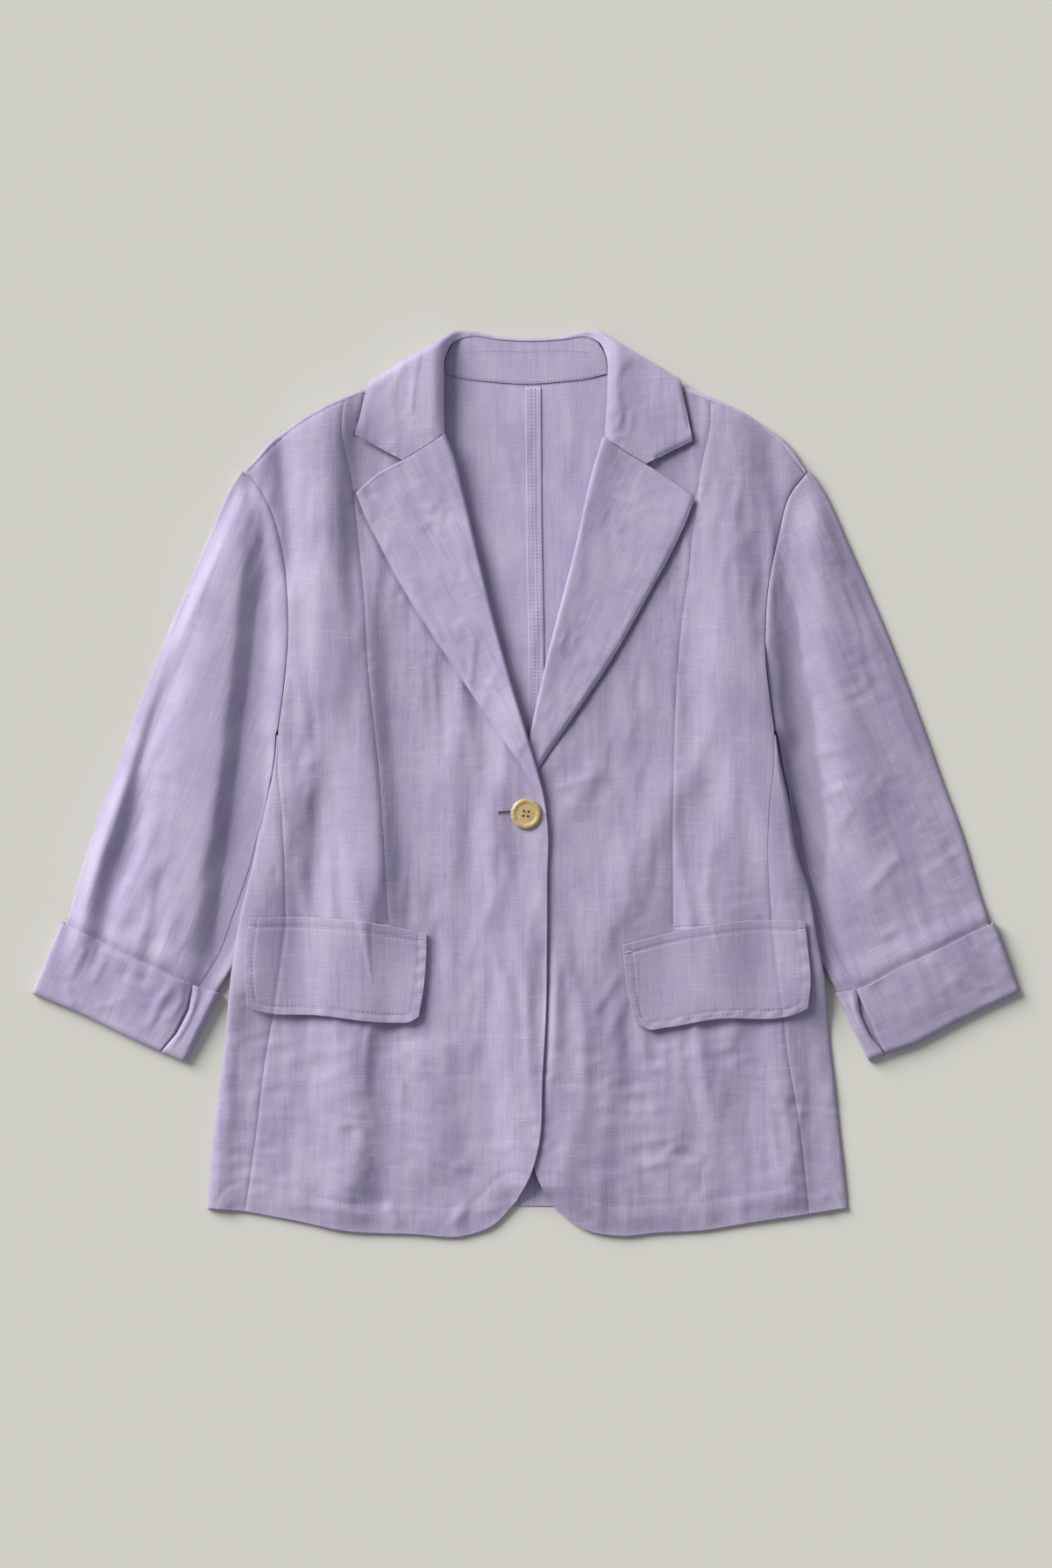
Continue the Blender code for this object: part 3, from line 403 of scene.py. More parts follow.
for side, turn, seed in (("left", -22, 200), ("right", 22, 250)):
    relief = sleeveRelief[side]
    relief.crumple(seed, 120, 22, turn, 1.3)
    relief.crumple(seed + 1, 50, 12, turn, 0.5)
    relief.crumple(seed + 2, 14, 24, turn, 0.3)
    relief.crumple(seed + 3, 9, 8, turn, 0.14)
    for row in sleeveFolds[side]:
        relief.fold(row)
turned = Relief((-150, -40), (150, 380))              # lapels and collar
turned.crumple(31, 50, 20, 0, 1.0)
turned.crumple(32, 12, 12, 0, 0.3)
inside = Relief((-80, -60), (80, 380))                # inside of the back
inside.crumple(41, 80, 17, 0, 2.4)
inside.crumple(42, 22, 12, 0, 0.4)
print("relief made")


def sideLift(x, y):                        # the body's sides lie on the sleeves
    edge = np.where(x < 0, -acrossAt(y, "sideFold", side="left"), acrossAt(y, "sideFold", side="right"))
    along = (1 - smooth(y, -15, 70)) * smooth(y, -215, -150)
    return layers["sideRise"] * along * (1 - smooth(edge - np.abs(x), 10, 58))


def fallLift(y):
    return layers["fallRise"] * smooth(y, 236, 300)


def backHeight(x, y):
    opening = 1 - smooth(np.abs(x) - 0.19 * (y - 10), -16, -4)           # within the neck's opening
    opening = opening * smooth(y, 20, 60) * (1 - smooth(y, 300, 330))
    shown = np.maximum(inside.at(x, y) + 0.5, 0) * opening
    return ground + fallLift(y) + sideLift(x, y) + shown


button = {"at": (0, -24), "reach": 17, "left": 6.6, "right": 4.4}      # heights that it holds the fronts to

fronts = {
    "levels": (15.0, 18.0),    # where the height starts to level off, and the most it reaches
    "least": 2.2,
    "chest": 0.4,              # fuller above the button
    "wadded": (4, 45),         # the wadding's reach from the seams
    "hemLevel": 2.3,
    "hemReach": 17,
    "hemShare": 0.35,          # of the folds' height that is left at the hem
    "hemDepth": 24.5,          # of the hem's stitching
    "stitchDip": 0.55,
    "stitchWidth": 1.5,
    "seamDip": 0.6,
    "seamWidth": 1.7,
    "foldDip": 0.8,            # along the side folds
    "foldReach": 9,
    "press": 1.3,              # under the edges that lie on it
    "pressWidth": 2.0,
    "lap": 3.4,                # of the left front over the right one
    "lapReach": (34, 6),
    "lapelEnd": (3, 14),       # where the right lapel ends under the left front
}


def frontHeight(x, y, side, relief=body):
    seam = toSeam(x, y, "armhole", "shoulder", "shoulderNeck")
    height = layers["front"] + layers["wadding"] * (1 - smooth(seam, *fronts["wadded"])) + relief.at(x, y)
    height = height + fronts["chest"] * smooth(y, -60, 60)
    hem = toSeam(x, y, "hem", half=side)
    kept = fronts["hemShare"] + (1 - fronts["hemShare"]) * smooth(hem, 0, fronts["hemReach"])
    height = fronts["hemLevel"] + (height - fronts["hemLevel"]) * kept
    edge = toSeam(x, y, "sideFold")
    folded = (1 - smooth(edge, 0, fronts["foldReach"])) * (1 - smooth(y, 20, 60))
    height = height - fronts["foldDip"] * folded
    dip = toSeam(x, y, "armhole", "shoulder", "princess", "sideFront", "sideFrontLow")
    height = height - fronts["seamDip"] * np.exp(-(dip / fronts["seamWidth"]) ** 2)
    press = toSeam(x, y, "lapelEdge", "collarSide", "collarFoot", half=side, thin=8)
    pressed = np.exp(-((press - 0.3) / fronts["pressWidth"]) ** 2) * smooth(y, -15, 30)
    height = height - fronts["press"] * pressed
    stitched = np.exp(-((hem - fronts["hemDepth"]) / fronts["stitchWidth"]) ** 2)
    height = height - fronts["stitchDip"] * stitched
    height = np.maximum(height, fronts["least"]) + fallLift(y) + sideLift(x, y)
    if side == "left":                     # it laps over the other front, and over the end of that lapel
        under = acrossAt(y, "roll", "frontEdge", "frontEdgeLow", side="right")
        first, last = fronts["lapReach"]
        height = height + fronts["lap"] * smooth(x, under - first, under - last)
        endX, endY = fronts["lapelEnd"]
        height = height + layers["step"] * (1 - smooth(np.hypot(x - endX, y - endY), 30, 85))
    height = limited(height, *fronts["levels"])
    sewn = np.exp(-(np.hypot(x - button["at"][0], y - button["at"][1]) / button["reach"]) ** 2)
    return height + sewn * (button[side] - height)


turning = {      # the lapels and the collar
    "levels": (16.0, 20.2),
    "clear": 1.35,             # least rise over the front's creases
    "air": 2.4,
    "roll": 2.6,               # extra height at the roll line
    "rollWidth": 14,
    "collar": {"left": 7.0, "right": 3.0},
    "collarWidth": 34,
    "lip": {"left": 0.5, "right": -0.3},      # of the edges
    "lipWidth": 0.8,
}


def onFront(x, y, side, lift, lapped=1.0):     # a layer that lies on a front, over its small creases
    clear = frontHeight(x, y, side) + turning["clear"] * lapped
    free = limited(frontHeight(x, y, side, calm) + layers["step"] * lapped + lift, *turning["levels"])
    return np.maximum(clear, free)


def turnedHeight(x, y, side):              # lapels and collar, on the fronts
    away = nearest(x, y, lines[side]["roll"].line[::4])[0]
    soft = turning["roll"] * smooth(y, 20, 110) * np.exp(-(away / turning["rollWidth"]) ** 2)
    nearRoll = np.exp(-(away / turning["collarWidth"]) ** 2)
    soft = soft + turning["collar"][side] * smooth(y, 215, 290) * nearRoll
    edge = toSeam(x, y, "lapelEdge", "lapelTip", "collarSide", "collarFoot", half=side, thin=8)
    soft = soft + turning["lip"][side] * np.exp(-((edge - turning["lipWidth"]) / turning["lipWidth"]) ** 2)
    soft = soft + turning["air"] * smooth(y, 0, 70) + np.maximum(turned.at(x, y) + 0.3, 0)
    return onFront(x, y, side, soft * smooth(y, -24, 30), 0.2 + 0.8 * smooth(y, -24, 10))


class Wire:                                # an output socket that takes part in sums
    def __init__(self, recipe, socket):
        self.recipe, self.socket = recipe, socket

    def sum(self, operation, first, second):
        return self.recipe.node("Math", {"operation": operation}, {0: first, 1: second})

    def __add__(self, other):
        return self.sum("ADD", self, other)

    def __radd__(self, other):
        return self.sum("ADD", other, self)

    def __sub__(self, other):
        return self.sum("SUBTRACT", self, other)

    def __rsub__(self, other):
        return self.sum("SUBTRACT", other, self)

    def __mul__(self, other):
        return self.sum("MULTIPLY", self, other)

    def __rmul__(self, other):
        return self.sum("MULTIPLY", other, self)

    def clipped(self, low, high):          # 0 below low and 1 above high
        return self.recipe.node("MapRange", {"interpolation_type": "SMOOTHSTEP"},
                                {"Value": self, "From Min": low, "From Max": high})


class Recipe:                              # a material and the nodes that are added to it
    def __init__(self, name):
        self.material = bpy.data.materials.new(name)
        self.material.use_nodes = True
        self.tree = self.material.node_tree
        self.tree.nodes.clear()

    def node(self, kind, settings=None, inputs=None, output=0):
        made = self.tree.nodes.new("ShaderNode" + kind)
        for key, value in (settings or {}).items():
            setattr(made, key, value)
        for key, value in (inputs or {}).items():
            if isinstance(value, Wire):
                self.tree.links.new(value.socket, made.inputs[key])
            else:
                made.inputs[key].default_value = value
        return Wire(self, made.outputs[output]) if made.outputs else None

    def place(self, scale, turn=0.0):      # object coordinates, turned and then scaled per metre
        at = self.node("TexCoord", output="Object")
        level = self.node("Mapping", {"vector_type": "POINT"}, {0: at, "Rotation": (0, 0, turn)})
        return self.node("Mapping", {"vector_type": "POINT"}, {0: level, "Scale": scale})

    def noise(self, scale, turn=0.0, detail=1.0, rough=0.5):
        return self.node("TexNoise", {"noise_dimensions": "3D"}, {
            "Vector": self.place(scale, turn), "Scale": 1.0, "Detail": detail, "Roughness": rough})

    def blend(self, factor, first, second):
        return self.node("Mix", {"data_type": "RGBA", "blend_type": "MIX", "clamp_factor": True},
                         {0: factor, 6: first, 7: second}, output=2)

    def finish(self, shader):
        self.node("OutputMaterial", None, {"Surface": shader})
        return self.material


def tinted(colour, share=1.0):             # a colour made lighter or darker
    return (*(share * part for part in colour[:3]), 1)


linenLook = {
    "violet": (0.274, 0.237, 0.392),       # where the dye took most
    "pale": (0.405, 0.375, 0.490),
    "slub": (0.56, 0.515, 0.655, 1),       # thicker threads
    "dark": (0.22, 0.185, 0.32, 1),        # thin places between them
    "fine": 1300,              # threads per metre
    "dye": 0.75,               # how far each of these carries the tone
    "patches": 0.75,
    "streaks": 0.34,
    "bars": 0.17,
    "weave": 0.42,
    "slubs": 0.16,
    "thin": 0.22,
    "bump": 0.24,
    "sheen": 0.26,
}


def linenMaterial(name, grain, shade):
    look = linenLook
    cook = Recipe(name)
    turn = math.radians(grain)
    fine = look["fine"]
    dye = cook.noise((58, 13, 12), turn, 3.0, 0.55)
    patches = cook.noise((24, 20, 12), turn, 2.0, 0.5)
    streaks = cook.noise((330, 16, 20), turn, 2.0, 0.6)
    bars = cook.noise((16, 330, 20), turn, 2.0, 0.6)
    warp = cook.noise((fine, 80, 60), turn, 0.0)
    weft = cook.noise((80, fine, 60), turn, 0.0)
    warpSlub = cook.noise((fine * 0.7, 55, 30), turn, 0.0).clipped(0.70, 0.80)
    weftSlub = cook.noise((50, fine * 0.7, 30), turn, 0.0).clipped(0.69, 0.79)
    weave = (warp + weft) * 0.5
    tone = ((dye - 0.5) * look["dye"] + (patches - 0.5) * look["patches"] + (streaks - 0.5) * look["streaks"]
            + (bars - 0.5) * look["bars"] + (weave - 0.5) * look["weave"] + 0.5)
    # shade makes lit and shaded copies of the linen: painted light and painted shade
    colour = cook.blend(tone.clipped(-0.05, 1.05),
                        tinted(look["violet"], shade), tinted(look["pale"], shade))
    colour = cook.blend(warpSlub * look["slubs"] * 0.7, colour, look["slub"])
    colour = cook.blend(weftSlub * look["slubs"], colour, look["slub"])
    colour = cook.blend(streaks.clipped(0.40, 0.28) * look["thin"], colour, look["dark"])
    height = weave + warpSlub * 0.4 + weftSlub * 0.4 + streaks * 0.8 + bars * 0.5
    normal = cook.node("Bump", None, {"Strength": look["bump"], "Distance": 0.0006, "Height": height})
    shader = cook.node("BsdfPrincipled", None, {
        "Base Color": colour, "Roughness": 0.74 + weave * 0.2, "Normal": normal,
        "Sheen Weight": look["sheen"], "Sheen Roughness": 0.5, "Sheen Tint": (0.90, 0.87, 1.0, 1),
        "Specular IOR Level": 0.25})
    return cook.finish(shader)


def threadMaterial(name, colour):
    cook = Recipe(name)
    twist = cook.noise((2600, 2600, 2600), 0.0, 1.0)
    shade = cook.blend(twist, tinted(colour, 0.72), tinted(colour, 1.18))
    shader = cook.node("BsdfPrincipled", None, {
        "Base Color": shade, "Roughness": 0.55 + twist * 0.2, "Sheen Weight": 0.15})
    return cook.finish(shader)


grainAndPaintedLight = {      # each kind of piece: turn of its grain in degrees, and shade, a factor on its colour; it paints light on the left pieces and shade on the right ones, as the light falls from the upper left; back and collar lighter
    "back": (0, 1.13), "collar": (0, 1.10),
    "bodyLeft": (0, 1.02), "bodyRight": (0, 0.94),
    "flapLeft": (0, 1.04), "flapRight": (0, 0.88),
    "lapelLeft": (-26, 1.13), "lapelRight": (26, 1.07),
    "sleeveLeft": (22, 1.15), "sleeveRight": (-22, 0.94),
    "cuffLeft": (24, 1.16), "cuffRight": (-24, 0.95),
}
linen = {key: linenMaterial(f"linen_{key}", grain, shade) for key, (grain, shade) in grainAndPaintedLight.items()}
seamThread = threadMaterial("thread_lavender", (0.29, 0.25, 0.40))
paleThread = threadMaterial("thread_pale", (0.60, 0.56, 0.68))


def slitMaterial(name, deep, light):       # the shade inside a slit or hole
    cook = Recipe(name)
    depth = cook.noise((900, 900, 900), 0.0, 1.0)
    colour = cook.blend(depth, deep, light)
    return cook.finish(cook.node("BsdfPrincipled", None, {"Base Color": colour, "Roughness": 0.95}))


hornLook = {
    "tan": (0.42, 0.30, 0.135, 1),
    "pale": (0.50, 0.385, 0.20, 1),
    "brown": (0.25, 0.135, 0.045, 1),
    "rough": 0.34,
}


def hornMaterial():                        # streaked horn with a few brown spots
    cook = Recipe("horn")
    swirl = cook.noise((150, 60, 100), math.radians(35), 3.0, 0.6)
    spots = cook.noise((170, 170, 120), 0.4, 2.0, 0.55)
    hairs = cook.noise((900, 110, 300), math.radians(-20), 1.0)
    colour = cook.blend(swirl.clipped(0.38, 0.66), hornLook["tan"], hornLook["pale"])
    colour = cook.blend(spots.clipped(0.60, 0.74) * 0.75, colour, hornLook["brown"])
    colour = cook.blend(hairs.clipped(0.56, 0.72) * 0.22, colour, hornLook["brown"])
    normal = cook.node("Bump", None, {"Strength": 0.15, "Distance": 0.0003, "Height": hairs})
    shader = cook.node("BsdfPrincipled", None, {
        "Base Color": colour, "Roughness": hornLook["rough"] + hairs * 0.15, "Normal": normal,
        "Coat Weight": 0.12, "Coat Roughness": 0.3})
    return cook.finish(shader)


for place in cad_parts["button"].material_slots:
    place.material = hornMaterial()
print("materials made")


def shares(length, step, first=True, last=True):       # shares of a length, closer together at its ends
    near = np.array([0.03, 0.7, 1.7, 3.0])
    inner = np.linspace(0, length, max(3, round(length / step)) + 1)
    inner = inner[(inner > (4 if first else 0.1)) & (inner < length - (4 if last else 0.1))]
    start = near if first else np.array([0.0])
    end = length - near[::-1] if last else np.array([length])
    return np.concatenate([start, inner, end]) / length


def raised(plan, height):
    return np.concatenate([plan, height[..., None]], axis=-1)


def laid(plan, height):                    # points in plan, raised to a height worked out from x and y
    return raised(plan, height(plan[..., 0], plan[..., 1]))


made = {}                                  # the cloth pieces, by the node that they replace
extras = {}                                # stitches and small pieces, by the node that they are sewn to


def addPiece(name, mesh, material, sewnTo=None):
    mesh.materials.append(material)
    piece = bpy.data.objects.new(name, mesh)
    bpy.context.scene.collection.objects.link(piece)
    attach(piece, "root")
    if sewnTo:
        extras.setdefault(sewnTo, []).append(piece)
    return piece


def clothPiece(name, grids, material, thickness, sewnTo=None):
    vertices, faces, start = [], [], 0
    for grid in grids:
        rows, columns = grid.shape[:2]
        index = start + np.arange(rows * columns).reshape(rows, columns)
        corners = index[:-1, :-1], index[1:, :-1], index[1:, 1:], index[:-1, 1:]
        faces.append(np.stack(corners, -1).reshape(-1, 4))
        vertices.append(grid.reshape(-1, 3))
        start += rows * columns
    mesh = bpy.data.meshes.new(name)
    mesh.from_pydata((np.concatenate(vertices) * mm).tolist(), [], np.concatenate(faces).tolist())
    work = bmesh.new()
    work.from_mesh(mesh)
    if len(grids) > 1:
        bmesh.ops.remove_doubles(work, verts=work.verts, dist=0.04 * mm)
    bmesh.ops.recalc_face_normals(work, faces=work.faces)
    work.to_mesh(mesh)
    work.free()
    mesh.shade_smooth()
    piece = addPiece(name, mesh, material, sewnTo)
    wall = piece.modifiers.new("Cloth wall", "SOLIDIFY")
    wall.thickness = thickness * mm
    wall.offset = 0
    wall.use_even_offset = False
    return piece


def cloth(node, grids, material, thickness=layers["cloth"]):
    made[node] = clothPiece("linen_" + node, grids, material, thickness)
    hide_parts(node)


def foldedGrid(above, below, rows, counts, radius, heights, ends=(1.0, 1.0), closing=lambda v: 1.0):
    # a sheet folded along u = 0 of two patches, one above and one below; ends: how much of each it covers
    # counts: its columns above, round the fold and below; closing: 0 along v where it isn't folded up yet
    v = np.asarray(rows, float)[:, None]
    widths = [np.linalg.norm(p(1.0, v) - p(0.0, v), axis=-1) for p in (above, below)]
    covered = [(end(v) if callable(end) else end) * w - layers["seamGap"] for end, w in zip(ends, widths)]
    start = layers["cloth"] / 2
    bendDepth = np.minimum(radius, 0.4 * np.minimum(covered[0], covered[1]))
    outward = shares(100, 100 / counts[0], first=False)[::-1][None, :-1]
    angle = np.linspace(np.pi / 2, -np.pi / 2, counts[1] + 1)[None, :]
    inward = np.linspace(0, 1, counts[2] + 1)[None, 1:]
    reach = [start + bendDepth + (c - start - bendDepth) * t for c, t in zip(covered, (outward, inward))]
    bend = start + bendDepth * (1 - np.cos(angle))
    middle = counts[1] // 2 + 1
    closed = closing(v)
    folded = np.concatenate([reach[0], bend], axis=1)
    unfolded = layers["seamGap"] + (start + bendDepth) * np.linspace(0, 1, folded.shape[1])[None, :]
    folded = closed * folded + (1 - closed) * unfolded
    outer = outward.shape[1]
    topPlan = above(folded / widths[0], v)
    lowPlan = below(np.concatenate([folded[:, outer:], reach[1]], axis=1) / widths[1], v)
    plan = np.concatenate([topPlan[:, :outer + middle], lowPlan[:, middle:]], axis=1)
    side = np.concatenate([np.ones(outer), np.sin(angle[0]), -np.ones(counts[2])])[None, :]
    side = (side + 1) * closed - 1
    high, low = (height(plan[..., 0], plan[..., 1]) for height in heights)
    return raised(plan, (high + low) / 2 + side * (high - low) / 2)


def flipped(place):
    return lambda u, v: place(1 - np.asarray(u, float), v)


def straight(first, last):
    return curve([tuple(first), tuple(last)])


backs = {"radius": 2.4, "column": 4.0, "row": 3.4, "hem": ((190, -343), (100, -342.5))}


def makeBack(side):
    line = lines[side]
    sign = -1 if side == "left" else 1
    fold = np.concatenate([line["shoulderFold"].line, line["neckFold"].line])
    order = np.argsort(fold[:, 0])
    neck = curve([(sign * x, y) for x, y in backNeck[::-1]] + [centreBack[0]])
    seam = np.concatenate([line["shoulder"].line, line["shoulderNeck"].line])
    seam = seam[np.argsort(seam[:, 0])]
    overFold = seams[side]["shoulderFold"] + seams[side]["neckFold"][1:]
    short = layers["cloth"] + layers["seamGap"]
    top = [(x, 2 * y - short - np.interp(x, seam[:, 0], seam[:, 1])) for x, y in overFold]
    top = chain(curve(top), neck)
    underarm = straight(seams[side]["armhole"][-1], seams[side]["sideBack"][0])
    outer = chain(straight(top(0.0), seams[side]["armhole"][0]), line["armhole"], underarm, line["sideBack"])
    bottom = curve([(sign * x, y) for x, y in backs["hem"]] + [centreBack[-1]])
    place = patch(top, bottom, outer, curve(centreBack))
    plan = place(shares(200, backs["column"])[None, :], shares(660, backs["row"])[:, None])
    x, y = plan[..., 0], plan[..., 1]
    edge = np.interp(x, fold[order, 0], fold[order, 1]) - layers["cloth"] / 2
    edge = np.where(np.abs(x) < 80, 400, edge)         # the neck isn't folded
    short = edge - y
    radius = backs["radius"]
    angle = np.clip(short / radius, -1, 1) * np.pi / 2
    away = np.where(np.abs(short) < radius, radius * (1 - np.cos(angle)), np.abs(short))
    folded = np.where(short < radius, edge - away, y)
    low, high = backHeight(x, y), frontHeight(x, folded, side)
    height = (high + low) / 2 - np.sin(angle) * (high - low) / 2
    cloth(f"back_{side}", [np.stack([x, folded, height], axis=-1)], linen["back"])


sides = {"row": 2.6, "fold": 4.0, "underarmFold": 1.0, "start": 0.012}


def makeSidePanel(side):
    line = lines[side]
    width = chain(line["sideFront"], line["sideFrontLow"])
    foldLow = line["sideFold"].line[-1]
    above = patch(straight(seams[side]["sideFold"][0], seams[side]["sideFront"][0]),
                  straight(foldLow, seams[side]["sideFrontLow"][-1]), line["sideFold"], width)
    below = patch(straight(seams[side]["sideFold"][0], seams[side]["sideBack"][0]),
                  straight(foldLow, seams[side]["sideBack"][-1]), line["sideFold"], line["sideBack"])
    rows = shares(390, sides["row"])
    rows = sides["start"] + (rows[-1] - sides["start"]) * (rows - rows[0]) / (rows[-1] - rows[0])
    sharp, wide = sides["underarmFold"], sides["fold"]
    bend = sharp + (wide - sharp) * smooth(rows, 0.02, 0.14)[:, None]
    heights = (lambda x, y: frontHeight(x, y, side), backHeight)
    grid = foldedGrid(above, below, rows, (16, 8, 12), bend, heights)
    cloth(f"side_{side}", [grid], linen["body" + side.title()])


def makeSideFront(side):
    line = lines[side]
    place = patch(line["shoulder"], straight(seams[side]["sideFront"][-1], seams[side]["princess"][-1]),
                  chain(line["armhole"], line["sideFront"]), line["princess"])
    plan = place(shares(72, 2.4)[None, :], shares(415, 2.4)[:, None])
    grid = laid(plan, lambda x, y: frontHeight(x, y, side))
    cloth(f"side_front_{side}", [grid], linen["body" + side.title()])


frontCut = {
    "rollInset": 5.6,          # it ends under the lapel's roll
    "taper": ((-15, 0, 20, 40), (1.3, 2.5, 4.2, 5.6)),     # that inset at these y
    "step": 2.3,
}


def makeFront(side):
    line = lines[side]
    sign = -1 if side == "left" else 1
    inner = [(x + sign * np.interp(y, *frontCut["taper"]), y) for x, y in seams[side]["roll"]]
    inner = chain(curve(inner), line["frontEdge"])
    outerEnd, middle, innerEnd = (seams[side][name][-1] for name in ("sideFront", "princess", "frontEdge"))
    neckPart = seams[side]["shoulderNeck"][:-1] + [(sign * (65 + frontCut["rollInset"]), 338)]
    upper = patch(curve(neckPart), straight(middle, innerEnd), line["princess"], inner)
    outerSpan, innerSpan = abs(outerEnd[0] - middle[0]), abs(middle[0] - innerEnd[0])
    lower = patch(chain(straight(outerEnd, middle), straight(middle, innerEnd)), line["hem"],
                  line["sideFrontLow"], line["frontEdgeLow"])
    split = outerSpan / (outerSpan + innerSpan)
    upperU = shares(innerSpan, frontCut["step"])
    outerU = shares(outerSpan, frontCut["step"], last=False)[:-1]
    lowerU = np.concatenate([outerU * split, split + (1 - split) * upperU])
    upperPlan = upper(upperU[None, :], shares(425, frontCut["step"], last=False)[:, None])
    lowerPlan = lower(lowerU[None, :], shares(235, frontCut["step"], first=False)[:, None])
    grids = [laid(plan, lambda x, y: frontHeight(x, y, side)) for plan in (upperPlan, lowerPlan)]
    cloth(f"front_{side}", grids, linen["body" + side.title()])


lapels = {"fold": 2.6, "turnUnder": 4.0, "thickness": 1.3, "leftEnd": (16.6, -24)}


def makeLapel(side):
    line = lines[side]
    start = seams[side]["lapelTop"][0]
    roll = [start] + [p for p in seams[side]["roll"] if p[1] < start[1] - 5]
    roll = curve(roll + [lapels["leftEnd"]] if side == "left" else roll)     # out along the front's edge
    tail = straight(roll.line[-1], seams[side]["lapelEdge"][-1])
    place = patch(line["lapelTop"], tail, roll, line["lapelEdge"])

    def under(v):
        width = np.linalg.norm(place(1.0, v) - place(0.0, v), axis=-1)
        return np.minimum(lapels["turnUnder"], 0.3 * width) / width

    heights = (lambda x, y: turnedHeight(x, y, side), lambda x, y: frontHeight(x, y, side))
    grid = foldedGrid(place, place, shares(290, 2.2), (38, 8, 2), lapels["fold"], heights, ends=(1.0, under))
    cloth(f"lapel_{side}", [grid], linen["lapel" + side.title()], lapels["thickness"])


stand = {"ends": ((-65, 346), (64.5, 346)), "rise": 0.87, "thickness": 0.8, "pitch": 2.9,
         "upperRow": [(-50, 349.5), (-20, 350.5), (0, 349.6), (20, 350.5), (50, 349.5)]}


def makeStand():
    left, right = (curve([standTop[i], stand["ends"][i], standLow[i]]) for i in (0, -1))
    place = patch(curve(standTop), curve(standLow), left, right)
    plan = place(shares(118, 2.4)[None, :], shares(31, 2.0)[:, None])
    grid = laid(plan, lambda x, y: backHeight(x, y) + stand["rise"])
    cloth("collar_stand", [grid], linen["collar"], stand["thickness"])


collarCut = {
    "notches": ((-100, 261.4), (97, 258.6)),
    "neckLevel": 3.5,          # of its crease behind the neck
    "crease": (1.6, 3.4),      # radius behind the neck, and how much more there is over the shoulders
    "drop": 0.15,              # at the seam with the lapels
    "thickness": 1.3,
}


def makeCollar():
    notches = collarCut["notches"]
    gorges = [lines[side]["lapelTop"].line for side in seams]
    gorges = [line[np.abs(line[:, 0]) < abs(notch[0])] + np.array([0, 0.12])
              for line, notch in zip(gorges, notches)]
    middle = curve([tuple(gorges[0][0])] + collarNeck[1:-1] + [tuple(gorges[1][0])])
    neck = chain(curve(gorges[0][::-5]), middle, curve(gorges[1][::5]))
    crease = curve(collarCrease).line
    place = patch(neck, curve(collarEdge), *(straight(notches[i], collarEdge[i]) for i in (0, -1)))
    share = shares(62, 1.5)[None, :]
    plan = place(shares(420, 2.6)[:, None], share)
    away, foot = nearest(plan[..., 0], plan[..., 1], crease)[:2]
    inner = plan[..., 1] < np.interp(plan[..., 0], crease[:, 0], crease[:, 1])
    past = np.where(inner, away, -away)
    x = plan[..., 0]
    outward = smooth(np.abs(x), 50, 76)
    radius = collarCut["crease"][0] + collarCut["crease"][1] * outward
    angle = np.clip(past / radius, -1, 1) * np.pi / 2
    kept = np.where(np.abs(past) < radius, radius * (1 - np.cos(angle)), away) + layers["cloth"] / 2
    towards = (plan - foot) / np.maximum(away, 1e-6)[..., None] * np.sign(past)[..., None]
    fold = np.where((past < radius)[..., None], foot + towards * kept[..., None], plan)
    top = np.where(x < 0, *(turnedHeight(fold[..., 0], fold[..., 1], side) for side in seams))
    top = collarCut["neckLevel"] + (top - collarCut["neckLevel"]) * outward
    low = (1 - smooth(share * 60, 0, 4)) * smooth(plan[..., 1], 284, 296) * outward
    top = top - collarCut["drop"] * low
    bottom = collarCut["thickness"] / 2
    height = (top + bottom) / 2 + np.sin(angle) * (top - bottom) / 2
    cloth("collar", [raised(fold, height)], linen["collar"], collarCut["thickness"])


sleeves = {
    "levels": (11.5, 15.5),
    "least": 2.3,
    "hollow": 3.6,             # height of its top over its underside
    "crown": {"left": 1.4, "right": 3.6},
    "join": {"left": (20, 7.4), "right": (30, 14.0)},      # reach of the fronts' height, and its most
    "press": 1.5,              # down under the cuff's top edge
    "pressWidth": 3.6,
    "hemLevel": 1.2,
    "hemReach": (2, 32),
    "fold": 4.2,
    "innerFold": 2.6,
    "hind": 0.12,              # how far its upper part goes on behind the outer fold
    "floorStart": 0.845,       # where its underside rises for the cuff
}


def sleevePlace(side):                     # u inwards from the outer fold, v down to the hem
    line = lines[side]
    bottom = seams[side]["cuffBottom"]
    sign = -1 if side == "left" else 1
    hem = curve([seams[side]["sleeveOuter"][-1]] + [(x - sign * 0.5, y + 2.8) for x, y in bottom[1:-1]]
                + [seams[side]["sleeveInner"][-1]])
    armhole = curve([(x + sign * 0.4, y) for x, y in seams[side]["armhole"]])
    head = straight(seams[side]["sleeveOuter"][0], armhole(0.0))
    return patch(head, hem, line["sleeveOuter"], chain(armhole, line["sleeveInner"]))


def sleeveFloor(side):                     # its underside rises just before the cuff
    line = sleevePlace(side)(np.linspace(0, 1, 40), np.full(40, sleeves["floorStart"]))
    order = np.argsort(line[:, 0])

    def height(x, y):
        into = np.interp(x, line[order, 0], line[order, 1]) - y
        return ground + (layers["step"] + 0.2) * smooth(into, -9, 9)

    return height


